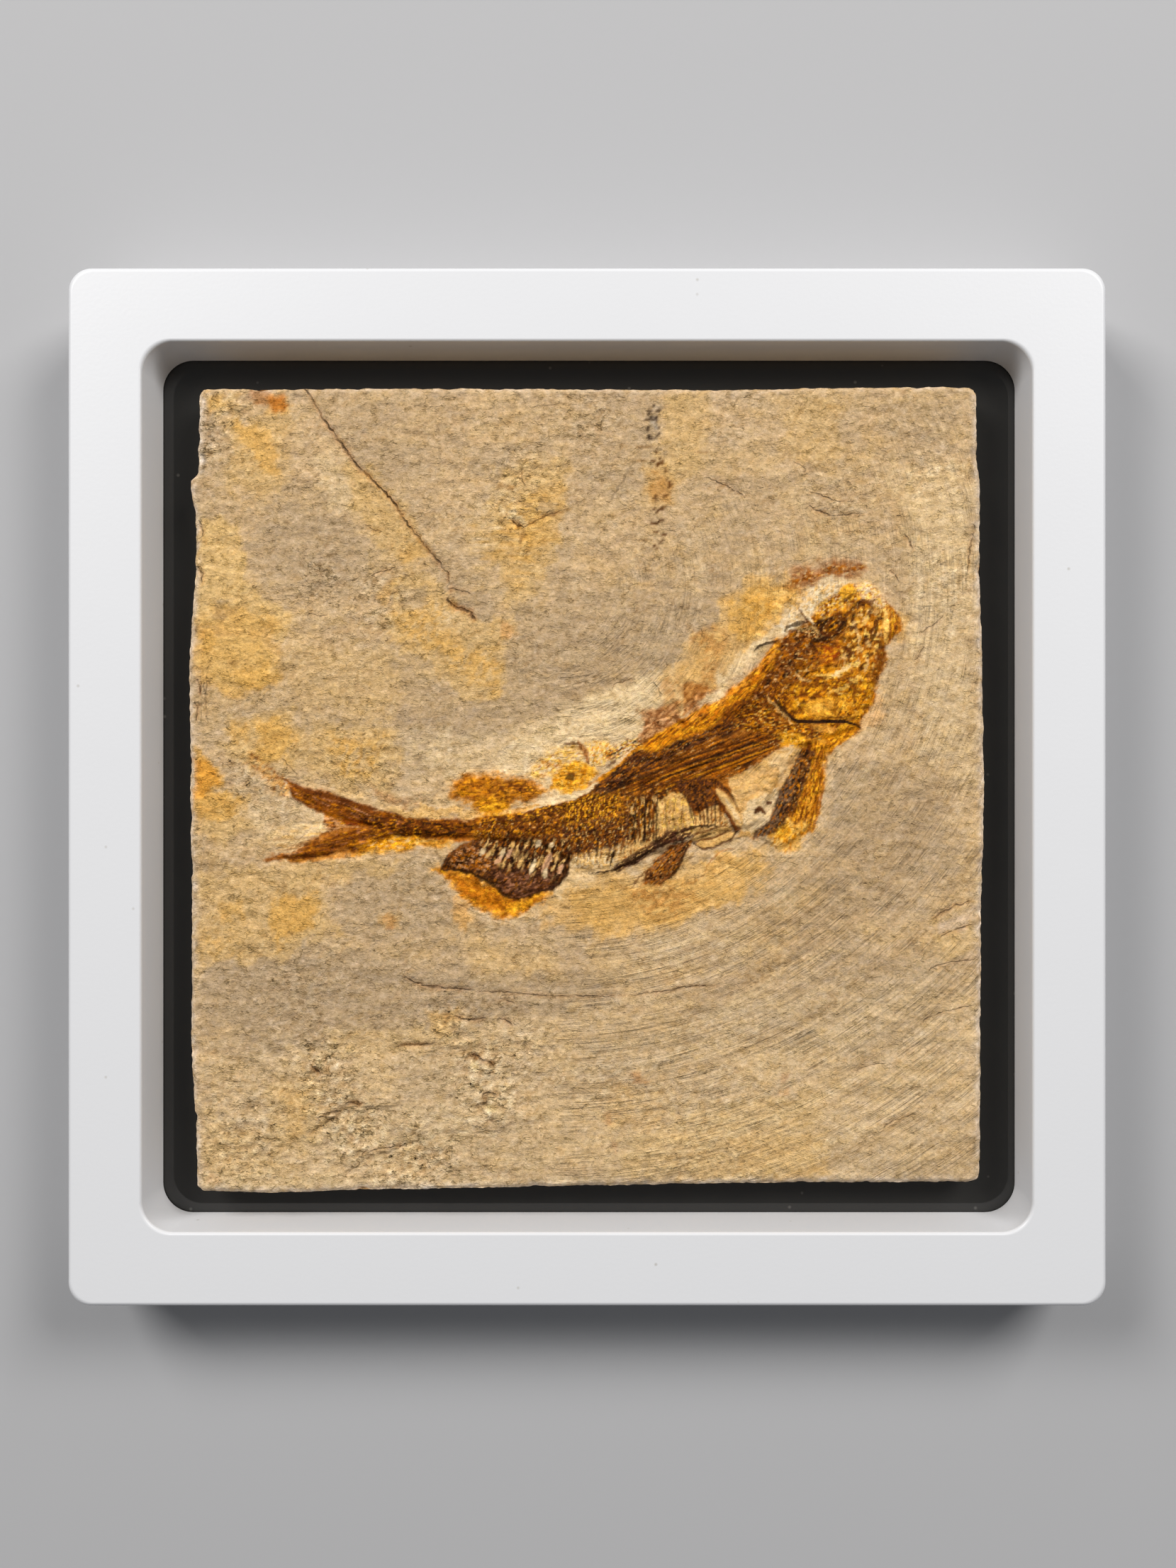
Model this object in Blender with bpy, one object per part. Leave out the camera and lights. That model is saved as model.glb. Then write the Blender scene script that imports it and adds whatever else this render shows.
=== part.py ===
"""Fossil fish slab in a white display frame.

A thin square of shale with a fish fossil on its face rests on a black backing plate.
The plate is held between the two halves of a white moulded frame.  The frame lies on
its back: origin at the middle of the back, X to the right, Y up the picture, Z towards
the viewer.  Blender 4.5, metres.
"""
import math
import random

import bmesh
import bpy
from mathutils import Vector, noise
from mathutils.geometry import delaunay_2d_cdt

MM = 0.001

# ---- Driving dimensions, in millimetres ------------------------------------------------
FRAME_SIDE = 180.0          # outer width and height of the frame
FRAME_DEPTH = 20.0          # both halves together
FRAME_CORNER = 4.0          # radius of the outer corners, seen from the front
FACE_ROUND = 1.0            # rounding between the face and the outer sides
PARTING_ROUND = 0.4         # small rounding where the two halves meet
WINDOW_SIDE = 154.4         # window at the face
WINDOW_FOOT = 152.4         # window where its wall meets the plate
WINDOW_CORNER = 5.4         # radius of the window's corners
WINDOW_ROUND = 0.6          # rounding of the window's rim
CORNER_STEPS = 8            # facets round each corner
GAP = 0.3                   # clearance between touching pieces

BACK_HALF_TOP = 10.0        # the back half ends level with the plate's face
PLATE_SIDE = 164.0          # black plate, its rim caught between the halves
PLATE_THICK = 1.7
PLATE_CORNER = 5.4
PLATE_ROUND = 0.25

SLAB_FOOT = BACK_HALF_TOP + GAP
SLAB_FACE = 17.0            # mean height of the stone's face
RIM_CHIP = 0.55             # width of the worn arris round the face
RIM_DROP = 0.7              # how far that arris falls
RIM_STEP = 2.9              # spacing of points round the broken edge
EDGE_STRAY = 0.22           # how far the broken edge strays in and out
EDGE_TRIM = 0.12            # how far inside the outline it lies on average
SIDE_MIDDLE = 13.4          # height of the ring half way down the broken side
FACE_STEP = 3.5             # spacing of points on the plain rock
FACE_CLEAR = 1.7            # least distance from those points to a drawn line

# ---- Outline of the stone, clockwise from the top left corner --------------------------
SLAB_OUTLINE = [
    (-66.6, 69.7), (-50.5, 69.7), (-35.4, 69.8), (-19.2, 69.8), (-3.0, 69.6), (5.1, 69.6),
    (29.3, 69.6), (37.4, 69.8), (63.0, 70.0), (66.4, 69.9),
    (67.5, 69.4), (68.0, 68.2), (68.1, 62.0), (68.3, 55.6), (68.7, 54.4), (68.7, 36.0),
    (69.0, 28.3), (69.3, 13.1), (69.5, -1.0), (69.3, -9.1), (68.9, -23.2), (68.8, -45.5),
    (68.7, -60.6), (68.6, -67.6),
    (68.1, -68.7), (67.0, -69.2), (61.6, -69.2), (37.4, -69.3), (13.1, -69.6),
    (-3.0, -69.9), (-27.3, -70.4), (-43.1, -70.8), (-51.2, -71.1), (-59.2, -71.1),
    (-66.8, -70.8),
    (-67.9, -70.2), (-68.4, -69.1), (-68.5, -60.6), (-69.0, -53.3), (-69.4, -45.5),
    (-69.4, -16.2), (-69.6, -1.0), (-69.8, 21.1), (-69.4, 28.3), (-68.7, 36.0),
    (-68.7, 48.1), (-69.4, 51.2), (-69.5, 53.5), (-68.2, 54.9), (-68.0, 57.0),
    (-68.3, 59.0), (-67.8, 61.0), (-68.3, 62.5), (-67.9, 64.6), (-68.2, 68.2),
    (-67.7, 69.3),
]

# ---- The fish: closed outlines of what stands proud of the rock ------------------------
FISH_BODY = [
    (-34.8, -5.7), (-22.1, -5.2), (-15.9, -4.8), (-10.0, -3.4), (-4.7, -2.2), (0.7, -0.3),
    (7.7, 4.7), (15.7, 10.2), (20.1, 13.7), (29.5, 20.1), (31.6, 24.2), (36.4, 31.6),
    (40.5, 35.0), (46.6, 37.0), (50.7, 35.2), (53.8, 31.0), (54.9, 28.0), (52.6, 25.1),
    (51.9, 22.3), (49.3, 13.9), (47.8, 10.4), (41.9, 8.1), (37.7, 6.7), (34.2, 1.5),
    (31.7, -2.9), (31.3, -6.2), (27.4, -7.7), (22.4, -8.1), (18.2, -9.9), (10.2, -12.6),
    (4.5, -14.8), (0.5, -15.3), (-3.5, -13.1), (-8.4, -10.6), (-15.9, -9.6), (-34.8, -8.6),
]
TAIL_UPPER = [
    (-51.9, 0.4), (-45.7, -1.1), (-40.7, -2.6), (-36.3, -4.1), (-33.6, -5.9),
    (-33.8, -7.6), (-40.5, -6.4), (-45.7, -5.2), (-49.3, -3.7), (-52.2, -1.6),
]
TAIL_LOWER = [
    (-55.0, -12.5), (-51.3, -11.0), (-47.7, -9.5), (-44.9, -7.8), (-40.0, -6.7),
    (-33.8, -6.9), (-33.6, -8.4), (-38.2, -10.4), (-44.4, -11.9), (-49.1, -12.4),
]
ANAL_FIN = [
    (-28.3, -8.6), (-15.9, -9.4), (-8.4, -10.4), (-3.2, -12.8), (-3.5, -14.8),
    (-4.6, -16.5), (-8.3, -18.2), (-12.3, -19.4), (-14.4, -19.1), (-16.9, -16.8),
    (-20.6, -15.1), (-25.4, -14.1),
]
DORSAL_FIN = [
    (-23.4, -1.7), (-22.6, 0.3), (-21.4, 1.8), (-14.6, 2.0), (-9.5, 1.3), (-7.2, -0.6),
    (-9.4, -2.2), (-13.4, -3.8), (-18.6, -4.6), (-22.6, -3.7),
]
PELVIC_FIN = [
    (9.5, -16.5), (8.1, -17.3), (12.0, -13.0), (15.1, -10.8), (18.2, -9.4), (19.9, -10.6),
    (17.4, -13.4), (14.7, -15.6),
]
PECTORAL_FIN = [
    (39.0, 8.3), (37.3, 4.5), (34.8, -1.1), (32.4, -4.8), (29.5, -8.9), (33.6, -11.2),
    (37.9, -8.1), (39.8, -4.8), (40.7, 1.4), (42.1, 7.5),
]
GILL_COVER_CENTRE = (41.5, 14.2)
GILL_COVER_HALF = (3.9, 2.0)
GILL_COVER_RISE = 0.35

# name: (closed outline, rise, width of the sloping bank)
RAISED = {
    "body": (FISH_BODY, 0.65, 1.2),
    "tail_upper": (TAIL_UPPER, 0.45, 0.8),
    "tail_lower": (TAIL_LOWER, 0.45, 0.8),
    "anal_fin": (ANAL_FIN, 0.40, 0.7),
    "dorsal_fin": (DORSAL_FIN, 0.30, 0.7),
    "pelvic_fin": (PELVIC_FIN, 0.35, 0.6),
    "pectoral_fin": (PECTORAL_FIN, 0.40, 0.7),
}

# ---- Combs of fine bones: (tops, feet, count, height, half width) ----------------------
COMBS = {
    "rib": ([(3.0, -4.2), (24.5, -1.6)], [(4.2, -13.4), (14.4, -9.6), (24.6, -6.6)],
            8, 0.28, 0.42),
    "anal_ray": ([(-17.5, -9.4), (-5.2, -12.2)], [(-20.4, -14.0), (-9.2, -17.6)],
                 6, 0.22, 0.40),
    "pectoral_ray": ([(38.6, 6.8), (41.4, 6.6)], [(31.4, -8.4), (37.4, -7.4)],
                     4, 0.22, 0.35),
}

# ---- Lines: (points, depth, half width); a negative depth is a ridge -------------------
GROOVES = {
    "backbone": ([(-33.0, -7.2), (-17.5, -6.5), (-8.3, -5.9), (1.6, -2.6), (11.5, 0.3),
                  (16.4, 3.1), (21.3, 6.8), (26.3, 11.2), (29.6, 14.6)], -0.35, 0.9),
    "skull_edge": ([(48.1, 32.6), (44.1, 28.8), (38.5, 25.8), (36.4, 24.7), (32.2, 18.9)],
                   0.45, 0.8),
    "throat": ([(30.7, 14.4), (35.7, 11.8), (41.5, 11.3), (47.2, 10.9)], 0.45, 0.5),
    "brow": ([(35.2, 30.2), (39.6, 33.2), (44.6, 35.4), (49.6, 34.4)], -0.40, 0.9),
    "crack_high": ([(-48.8, 68.0), (-46.6, 65.0), (-42.4, 59.0), (-40.3, 56.1),
                    (-37.9, 53.9), (-31.6, 46.1), (-28.3, 42.0), (-24.4, 37.2),
                    (-23.6, 32.9), (-21.6, 31.3), (-19.5, 29.4)], 0.55, 0.45),
    "crack_low": ([(-32.2, -33.2), (-28.3, -34.9), (-19.2, -35.7), (-8.7, -36.5),
                   (2.2, -36.7), (11.5, -36.0), (22.6, -34.8)], 0.40, 0.40),
    "crack_right": ([(38.7, 49.1), (42.6, 47.3), (48.7, 47.5)], 0.40, 0.35),
    "crack_right_high": ([(39.0, 51.5), (43.9, 50.1), (46.9, 49.9)], 0.35, 0.35),
    "crack_snout": ([(52.9, 37.8), (54.2, 36.3), (56.4, 41.0)], 0.30, 0.30),
    "scrape_long": ([(22.6, -38.1), (31.7, -32.7), (40.8, -28.1), (49.3, -21.4)], 0.22, 0.8),
    "scrape_inner": ([(22.6, -31.5), (28.6, -30.0), (34.7, -26.9), (43.0, -22.4)], 0.22, 0.7),
    "scrape_side": ([(52.5, -18.4), (56.0, -11.7), (58.1, -5.3), (58.8, 2.0)], 0.20, 0.7),
    "scrape_edge": ([(60.2, -23.3), (63.1, -21.4), (67.0, -20.1)], 0.30, 0.4),
}

# ---- Ledges: (points, drop, reach); the rock on the right of the line lies lower -------
LEDGES = {
    "high": ([(-24.0, 35.6), (-29.0, 42.0), (-38.4, 53.4), (-43.0, 59.0), (-48.0, 66.4)],
             -0.30, 9.0),
    "flake": ([(-14.9, 48.1), (-11.3, 45.3), (-7.6, 47.3), (-4.0, 48.1)], 0.30, 4.0),
    "lower_left": ([(-48.1, -60.0), (-45.4, -58.2), (-41.5, -56.6), (-36.0, -56.0)],
                   0.70, 4.0),
    "foot": ([(-42.4, -67.8), (-39.0, -64.8), (-33.7, -63.3), (-29.5, -61.4)], 0.60, 4.0),
    "middle_left": ([(-33.1, -45.3), (-27.1, -45.1), (-20.2, -45.4)], 0.40, 5.0),
    "left_rim": ([(-66.9, -14.0), (-67.6, 2.0), (-67.4, 16.0), (-66.8, 30.0)], -0.50, 3.0),
}

# ---- Lumps and hollows: (x, y, radius, height) -----------------------------------------
LUMPS = [
    (-17.5, -53.4, 2.4, 0.8), (-15.2, -57.4, 2.8, 0.7), (-12.1, 47.2, 1.8, 0.2),
    (8.8, -50.8, 1.8, 0.5), (-29.0, -59.0, 3.4, 0.6), (-22.6, -62.4, 3.0, -0.6),
    (-37.0, -60.4, 2.8, -0.6), (-44.4, -52.2, 3.4, 0.5), (-51.0, -63.6, 3.2, -0.5),
    (-58.6, -56.0, 2.6, -0.4), (3.6, -58.0, 2.0, -0.4), (34.0, -21.6, 3.4, 0.5),
    (46.0, 28.6, 3.6, 0.4), (50.0, 21.0, 2.6, 0.3),
]
ROUGH_CENTRE = (-31.0, -60.0)     # the pitted patch at the lower left
ROUGH_HALF = (26.0, 11.0)

FRAME_WHITE = (0.82, 0.82, 0.83)
PLATE_BLACK = (0.012, 0.012, 0.013)
STONE_TAN = (0.52, 0.41, 0.25)


# ---- Scene helpers ---------------------------------------------------------------------
def empty_the_file():
    for old in list(bpy.data.objects):
        bpy.data.objects.remove(old, do_unlink=True)


def collection(name):
    made = bpy.data.collections.new(name)
    bpy.context.scene.collection.children.link(made)
    return made


def material(name, colour, roughness):
    made = bpy.data.materials.new(name)
    made.use_nodes = True
    shader = made.node_tree.nodes["Principled BSDF"]
    shader.inputs["Base Color"].default_value = (*colour, 1.0)
    shader.inputs["Roughness"].default_value = roughness
    shader.inputs["Metallic"].default_value = 0.0
    return made


def object_from(bm, name, home, surface=None):
    """Close a bmesh into a named object, in metres."""
    bmesh.ops.recalc_face_normals(bm, faces=bm.faces)
    bmesh.ops.scale(bm, vec=(MM, MM, MM), verts=bm.verts)
    mesh = bpy.data.meshes.new(name)
    bm.to_mesh(mesh)
    bm.free()
    made = bpy.data.objects.new(name, mesh)
    home.objects.link(made)
    if surface:
        mesh.materials.append(surface)
        mesh.shade_smooth()
        mesh.set_sharp_from_angle(angle=math.radians(32.0))
    return made


# ---- The moulded frame and its plate ---------------------------------------------------
def rounded_block(side_low, side_high, z_low, z_high, corner):
    """A square block with rounded upright corners, which may taper from top to bottom."""
    bm = bmesh.new()
    bmesh.ops.create_cube(bm, size=1.0)
    bmesh.ops.scale(bm, vec=(side_high, side_high, z_high - z_low), verts=bm.verts)
    bmesh.ops.translate(bm, vec=(0.0, 0.0, (z_low + z_high) / 2.0), verts=bm.verts)
    upright = [e for e in bm.edges if abs(e.verts[0].co.z - e.verts[1].co.z) > 0.5]
    bmesh.ops.bevel(bm, geom=upright, offset=corner, segments=CORNER_STEPS,
                    affect="EDGES", profile=0.5)
    middle = (z_low + z_high) / 2.0
    foot = [v for v in bm.verts if v.co.z < middle]
    taper = side_low / side_high
    bmesh.ops.scale(bm, vec=(taper, taper, 1.0), verts=foot)
    return bm


def round_rim(bm, height, inner, outer, width, segments):
    """Round the edges at one height that lie between two half-widths."""
    def on_rim(vert):
        reach = max(abs(vert.co.x), abs(vert.co.y))
        return abs(vert.co.z - height) < 0.01 and inner < reach < outer

    rim = [e for e in bm.edges
           if all(on_rim(v) for v in e.verts) and e.calc_face_angle(0.0) > 0.5]
    bmesh.ops.bevel(bm, geom=rim, offset=width, segments=segments, affect="EDGES",
                    profile=0.5)


def cut(bm, cutters, name, home, spare):
    """Take the cutters out of a block and give the result back as a bmesh."""
    block = object_from(bm, name + "_block", home)
    for number, cutter_mesh in enumerate(cutters):
        cutter = object_from(cutter_mesh, f"{name}_cutter_{number}", spare)
        cutter.hide_render = True
        cutter.display_type = "WIRE"
        opening = block.modifiers.new(f"opening_{number}", "BOOLEAN")
        opening.operation = "DIFFERENCE"
        opening.object = cutter
    bpy.context.view_layer.update()
    seen = block.evaluated_get(bpy.context.evaluated_depsgraph_get())
    result = bmesh.new()
    result.from_mesh(bpy.data.meshes.new_from_object(seen))
    bmesh.ops.scale(result, vec=(1.0 / MM, 1.0 / MM, 1.0 / MM), verts=result.verts)
    bpy.data.objects.remove(block, do_unlink=True)
    return result


def window_cutter(z_face, z_foot):
    """The tapering window, run past both ends so that it cuts cleanly."""
    slope = (WINDOW_SIDE - WINDOW_FOOT) / abs(z_face - z_foot)
    past = 2.0
    side_face = WINDOW_SIDE + slope * past
    side_foot = WINDOW_FOOT - slope * past
    if z_face > z_foot:
        return rounded_block(side_foot, side_face, z_foot - past, z_face + past,
                             WINDOW_CORNER)
    return rounded_block(side_face, side_foot, z_face - past, z_foot + past,
                         WINDOW_CORNER)


def frame_front(home, spare, surface):
    """Front half: the flat white border with its window."""
    low = BACK_HALF_TOP + GAP
    high = FRAME_DEPTH
    block = rounded_block(FRAME_SIDE, FRAME_SIDE, low, high, FRAME_CORNER)
    bm = cut(block, [window_cutter(high, low)], "frame_front", home, spare)
    half = FRAME_SIDE / 2.0
    window = WINDOW_SIDE / 2.0
    round_rim(bm, high, half - 4.0, half + 1.0, FACE_ROUND, 4)
    round_rim(bm, low, half - 4.0, half + 1.0, PARTING_ROUND, 2)
    round_rim(bm, high, window - 4.0, window + 1.0, WINDOW_ROUND, 3)
    return object_from(bm, "frame_front", home, surface)


def frame_back(home, spare, surface):
    """Back half: the same moulding turned over, with a rebate that takes the plate."""
    high = BACK_HALF_TOP
    shelf = high - PLATE_THICK - GAP
    pocket_side = PLATE_SIDE + 2.0 * GAP
    block = rounded_block(FRAME_SIDE, FRAME_SIDE, 0.0, high, FRAME_CORNER)
    pocket = rounded_block(pocket_side, pocket_side, shelf, high + 2.0,
                           PLATE_CORNER + GAP)
    bm = cut(block, [window_cutter(0.0, shelf), pocket], "frame_back", home, spare)
    half = FRAME_SIDE / 2.0
    window = WINDOW_SIDE / 2.0
    round_rim(bm, 0.0, half - 4.0, half + 1.0, FACE_ROUND, 4)
    round_rim(bm, high, half - 4.0, half + 1.0, PARTING_ROUND, 2)
    round_rim(bm, 0.0, window - 4.0, window + 1.0, WINDOW_ROUND, 3)
    return object_from(bm, "frame_back", home, surface)


def backing_plate(home, surface):
    """Black plate that the stone rests on."""
    low = BACK_HALF_TOP - PLATE_THICK
    bm = rounded_block(PLATE_SIDE, PLATE_SIDE, low, BACK_HALF_TOP, PLATE_CORNER)
    half = PLATE_SIDE / 2.0
    round_rim(bm, BACK_HALF_TOP, half - 4.0, half + 1.0, PLATE_ROUND, 1)
    round_rim(bm, low, half - 4.0, half + 1.0, PLATE_ROUND, 1)
    return object_from(bm, "backing_plate", home, surface)


# ---- Flat geometry used by the stone ---------------------------------------------------
def nearest_on_line(point, line, closed=False):
    """Distance to a line, the side it is passed on (+1 left) and whether past an end."""
    best = (1e9, 1.0, False)
    last = len(line) if closed else len(line) - 1
    for i in range(last):
        ax, ay = line[i]
        bx, by = line[(i + 1) % len(line)]
        dx, dy = bx - ax, by - ay
        px, py = point[0] - ax, point[1] - ay
        along = (px * dx + py * dy) / (dx * dx + dy * dy)
        held = min(1.0, max(0.0, along))
        gap = math.hypot(px - held * dx, py - held * dy)
        if gap < best[0] - 1e-9:
            side = 1.0 if dx * py - dy * px > 0.0 else -1.0
            past = not closed and ((i == 0 and along < 0.0)
                                   or (i == last - 1 and along > 1.0))
            best = (gap, side, past)
    return best


def inside(point, loop):
    """Even-odd test of a point in a closed outline."""
    x, y = point
    within = False
    for i in range(len(loop)):
        ax, ay = loop[i]
        bx, by = loop[i - 1]
        if (ay > y) != (by > y) and x < (bx - ax) * (y - ay) / (by - ay) + ax:
            within = not within
    return within


def smooth(value):
    held = min(1.0, max(0.0, value))
    return held * held * (3.0 - 2.0 * held)


def shifted(line, distance, closed=False):
    """The line moved sideways to its left; a clockwise loop grows."""
    moved = []
    count = len(line)
    for i in range(count):
        before = line[i - 1] if closed or i > 0 else line[i]
        after = line[(i + 1) % count] if closed or i < count - 1 else line[i]
        dx, dy = after[0] - before[0], after[1] - before[1]
        length = math.hypot(dx, dy)
        moved.append((line[i][0] - dy / length * distance,
                      line[i][1] + dx / length * distance))
    return moved


def spread(line, step, closed=True):
    """Points about one step apart along a line."""
    points = []
    last = len(line) if closed else len(line) - 1
    for i in range(last):
        ax, ay = line[i]
        bx, by = line[(i + 1) % len(line)]
        parts = max(1, round(math.hypot(bx - ax, by - ay) / step))
        for k in range(parts):
            t = k / parts
            points.append((ax + (bx - ax) * t, ay + (by - ay) * t))
    if not closed:
        points.append(line[-1])
    return points


# ---- The stone -------------------------------------------------------------------------
def rock(x, y):
    """Bedding waves, fine grain and the pitted patch, about zero on average."""
    wave = noise.noise(Vector((x / 30.0, y / 12.0, 3.7))) * 0.45
    grain = noise.noise(Vector((x / 9.0, y / 3.6, 8.1))) * 0.14
    u = (x - ROUGH_CENTRE[0]) / ROUGH_HALF[0]
    v = (y - ROUGH_CENTRE[1]) / ROUGH_HALF[1]
    roughness = math.exp(-(u * u + v * v))
    pits = noise.noise(Vector((x / 3.2, y / 2.6, 5.5))) * 0.75 * roughness
    return wave + grain + pits


def along(line, share):
    """The point that lies a share of the way from a line's start to its end."""
    lengths = [math.dist(line[i], line[i + 1]) for i in range(len(line) - 1)]
    left = share * sum(lengths)
    for i, length in enumerate(lengths):
        if left <= length or i == len(lengths) - 1:
            t = left / length
            return (line[i][0] + (line[i + 1][0] - line[i][0]) * t,
                    line[i][1] + (line[i + 1][1] - line[i][1]) * t)
        left -= length


def comb_lines():
    """Each comb's bones as (points, depth, half width), like the grooves."""
    lines = []
    for tops, feet, count, tall, half_width in COMBS.values():
        for k in range(count):
            share = k / (count - 1)
            lines.append(([along(tops, share), along(feet, share)], -tall, half_width))
    return lines


def gill_cover_loop():
    points = []
    for k in range(12):
        turn = -2.0 * math.pi * k / 12
        points.append((GILL_COVER_CENTRE[0] + GILL_COVER_HALF[0] * math.cos(turn),
                       GILL_COVER_CENTRE[1] + GILL_COVER_HALF[1] * math.sin(turn)))
    return points


LINES = list(GROOVES.values()) + comb_lines()


def relief(x, y):
    """Height of the stone's face above its mean, in millimetres."""
    here = (x, y)
    height = rock(x, y)
    highest = 0.0
    for loop, rise, bank in RAISED.values():
        if inside(here, loop):
            depth_in = nearest_on_line(here, loop, closed=True)[0]
            highest = max(highest, rise * smooth(depth_in / bank))
    height += highest
    for line, depth, half_width in LINES:
        gap, _, past = nearest_on_line(here, line)
        if not past and gap < half_width:
            height -= depth * (1.0 - gap / half_width)
    for line, drop, reach in LEDGES.values():
        gap, side, past = nearest_on_line(here, line)
        if side < 0.0 and gap > 0.05:
            ends = math.exp(-gap / 1.5) if past else 1.0
            height -= drop * math.exp(-gap / reach) * ends
    for lump_x, lump_y, radius, tall in LUMPS:
        gap = math.hypot(x - lump_x, y - lump_y)
        height += tall * smooth(1.0 - gap / radius)
    u = (x - GILL_COVER_CENTRE[0]) / GILL_COVER_HALF[0]
    v = (y - GILL_COVER_CENTRE[1]) / GILL_COVER_HALF[1]
    return height + GILL_COVER_RISE * smooth(1.6 * (1.0 - math.hypot(u, v)))


def broken_outline():
    """The outline with the small ins and outs of a broken edge."""
    points = spread(SLAB_OUTLINE, RIM_STEP)
    pushed = []
    for x, y in points:
        ragged = EDGE_STRAY * noise.noise(Vector((x / 2.4, y / 2.4, 1.3))) - EDGE_TRIM
        length = math.hypot(x, y)
        pushed.append((x + x / length * ragged, y + y / length * ragged))
    return pushed


def face_features():
    """Lines that the face's triangles have to follow."""
    lines = []
    loops = [(loop, bank) for loop, _, bank in RAISED.values()]
    for loop, bank in loops:
        outer = spread(loop, 4.0)
        lines.append((outer, True))
        lines.append((shifted(outer, -bank, closed=True), True))
    lines.append((gill_cover_loop(), True))
    for line, _, half_width in LINES:
        middle = spread(line, 4.0, closed=False)
        left = shifted(middle, half_width)[1:-1]
        right = shifted(middle, -half_width)[1:-1]
        lines.append((middle, False))
        lines.append(([middle[0]] + left + [middle[-1]] + right[::-1], True))
    for line, _, _ in LEDGES.values():
        top = spread(line, 3.0, closed=False)
        lines.append((top, False))
        lines.append((shifted(top, -0.5), False))
    for lump_x, lump_y, radius, _ in LUMPS:
        ring = []
        for k in range(8):
            turn = 2.0 * math.pi * k / 8
            ring.append((lump_x + 0.55 * radius * math.cos(turn),
                         lump_y + 0.55 * radius * math.sin(turn)))
        lines.append((ring, True))
    return lines


def face_points(rim, features):
    """Feature points and edges first, then loosely scattered points between them."""
    points = list(rim)
    edges = [(i, (i + 1) % len(rim)) for i in range(len(rim))]
    for line, closed in features:
        first = len(points)
        points.extend(line)
        edges.extend((first + i, first + i + 1) for i in range(len(line) - 1))
        if closed:
            edges.append((first + len(line) - 1, first))
    fixed = list(points)
    scatter = random.Random(7)
    cells = int(FRAME_SIDE / FACE_STEP)
    for row in range(cells):
        for column in range(cells):
            offset = 0.5 * (row % 2)
            x = (column - cells / 2 + offset + scatter.uniform(-0.22, 0.22)) * FACE_STEP
            y = (row - cells / 2 + scatter.uniform(-0.22, 0.22)) * FACE_STEP * 0.9
            if not inside((x, y), rim):
                continue
            nearest = min((x - px) ** 2 + (y - py) ** 2 for px, py in fixed)
            if nearest > FACE_CLEAR ** 2:
                points.append((x, y))
    return points, edges


def fish_slab(home, surface):
    """One piece of stone: relief on its face, broken sides, flat back."""
    outline = broken_outline()
    rim = shifted(outline, -RIM_CHIP, closed=True)
    points, edges = face_points(rim, face_features())
    flat = [Vector(p) for p in points]
    face = [list(range(len(rim)))]
    corners, _, triangles, origins, _, _ = delaunay_2d_cdt(flat, edges, face, 1, 0.02)

    bm = bmesh.new()
    top = [bm.verts.new((c.x, c.y, SLAB_FACE + relief(c.x, c.y))) for c in corners]
    for triangle in triangles:
        bm.faces.new([top[i] for i in triangle])

    # the rim's points, in order round the stone
    place = {}
    for index, sources in enumerate(origins):
        for source in sources:
            place[source] = index
    upper = [top[place[i]] for i in range(len(rim))]

    # three more rings down the broken side, then the flat back
    levels = [(SLAB_FACE - RIM_DROP, 0.0), (SIDE_MIDDLE, -0.35), (SLAB_FOOT, -0.8)]
    for level, inset in levels:
        ring = []
        for i, (x, y) in enumerate(shifted(outline, inset, closed=True)):
            wander = 0.3 * noise.noise(Vector((x / 4.0, y / 4.0, level)))
            lift = 0.0 if level == SLAB_FOOT else wander
            ring.append(bm.verts.new((x - 0.004 * x * abs(wander),
                                      y - 0.004 * y * abs(wander), level + lift)))
        for i in range(len(ring)):
            k = (i + 1) % len(ring)
            bm.faces.new((upper[i], upper[k], ring[k], ring[i]))
        upper = ring
    bm.faces.new(upper)
    return object_from(bm, "fish_slab", home, surface)


def main():
    empty_the_file()
    home = collection("fossil_fish_slab")
    spare = collection("cutters")
    white = material("white_plastic", FRAME_WHITE, 0.38)
    black = material("black_plastic", PLATE_BLACK, 0.18)
    stone = material("tan_shale", STONE_TAN, 0.85)
    frame_back(home, spare, white)
    frame_front(home, spare, white)
    backing_plate(home, black)
    fish_slab(home, stone)


main()
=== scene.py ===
import math

import bpy
import numpy as np
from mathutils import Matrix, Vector, noise


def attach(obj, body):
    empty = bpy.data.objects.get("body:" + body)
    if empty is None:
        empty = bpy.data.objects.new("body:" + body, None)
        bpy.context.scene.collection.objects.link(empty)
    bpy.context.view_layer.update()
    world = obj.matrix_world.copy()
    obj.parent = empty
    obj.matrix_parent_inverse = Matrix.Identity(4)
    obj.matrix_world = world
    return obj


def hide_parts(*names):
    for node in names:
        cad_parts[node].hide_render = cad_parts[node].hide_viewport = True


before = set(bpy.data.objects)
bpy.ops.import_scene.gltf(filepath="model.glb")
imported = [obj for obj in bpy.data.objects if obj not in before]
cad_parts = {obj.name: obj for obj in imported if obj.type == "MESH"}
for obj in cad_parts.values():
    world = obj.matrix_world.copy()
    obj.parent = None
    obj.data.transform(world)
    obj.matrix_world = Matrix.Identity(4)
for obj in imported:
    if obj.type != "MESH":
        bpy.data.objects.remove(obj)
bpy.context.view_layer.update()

MM = 0.001


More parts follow.
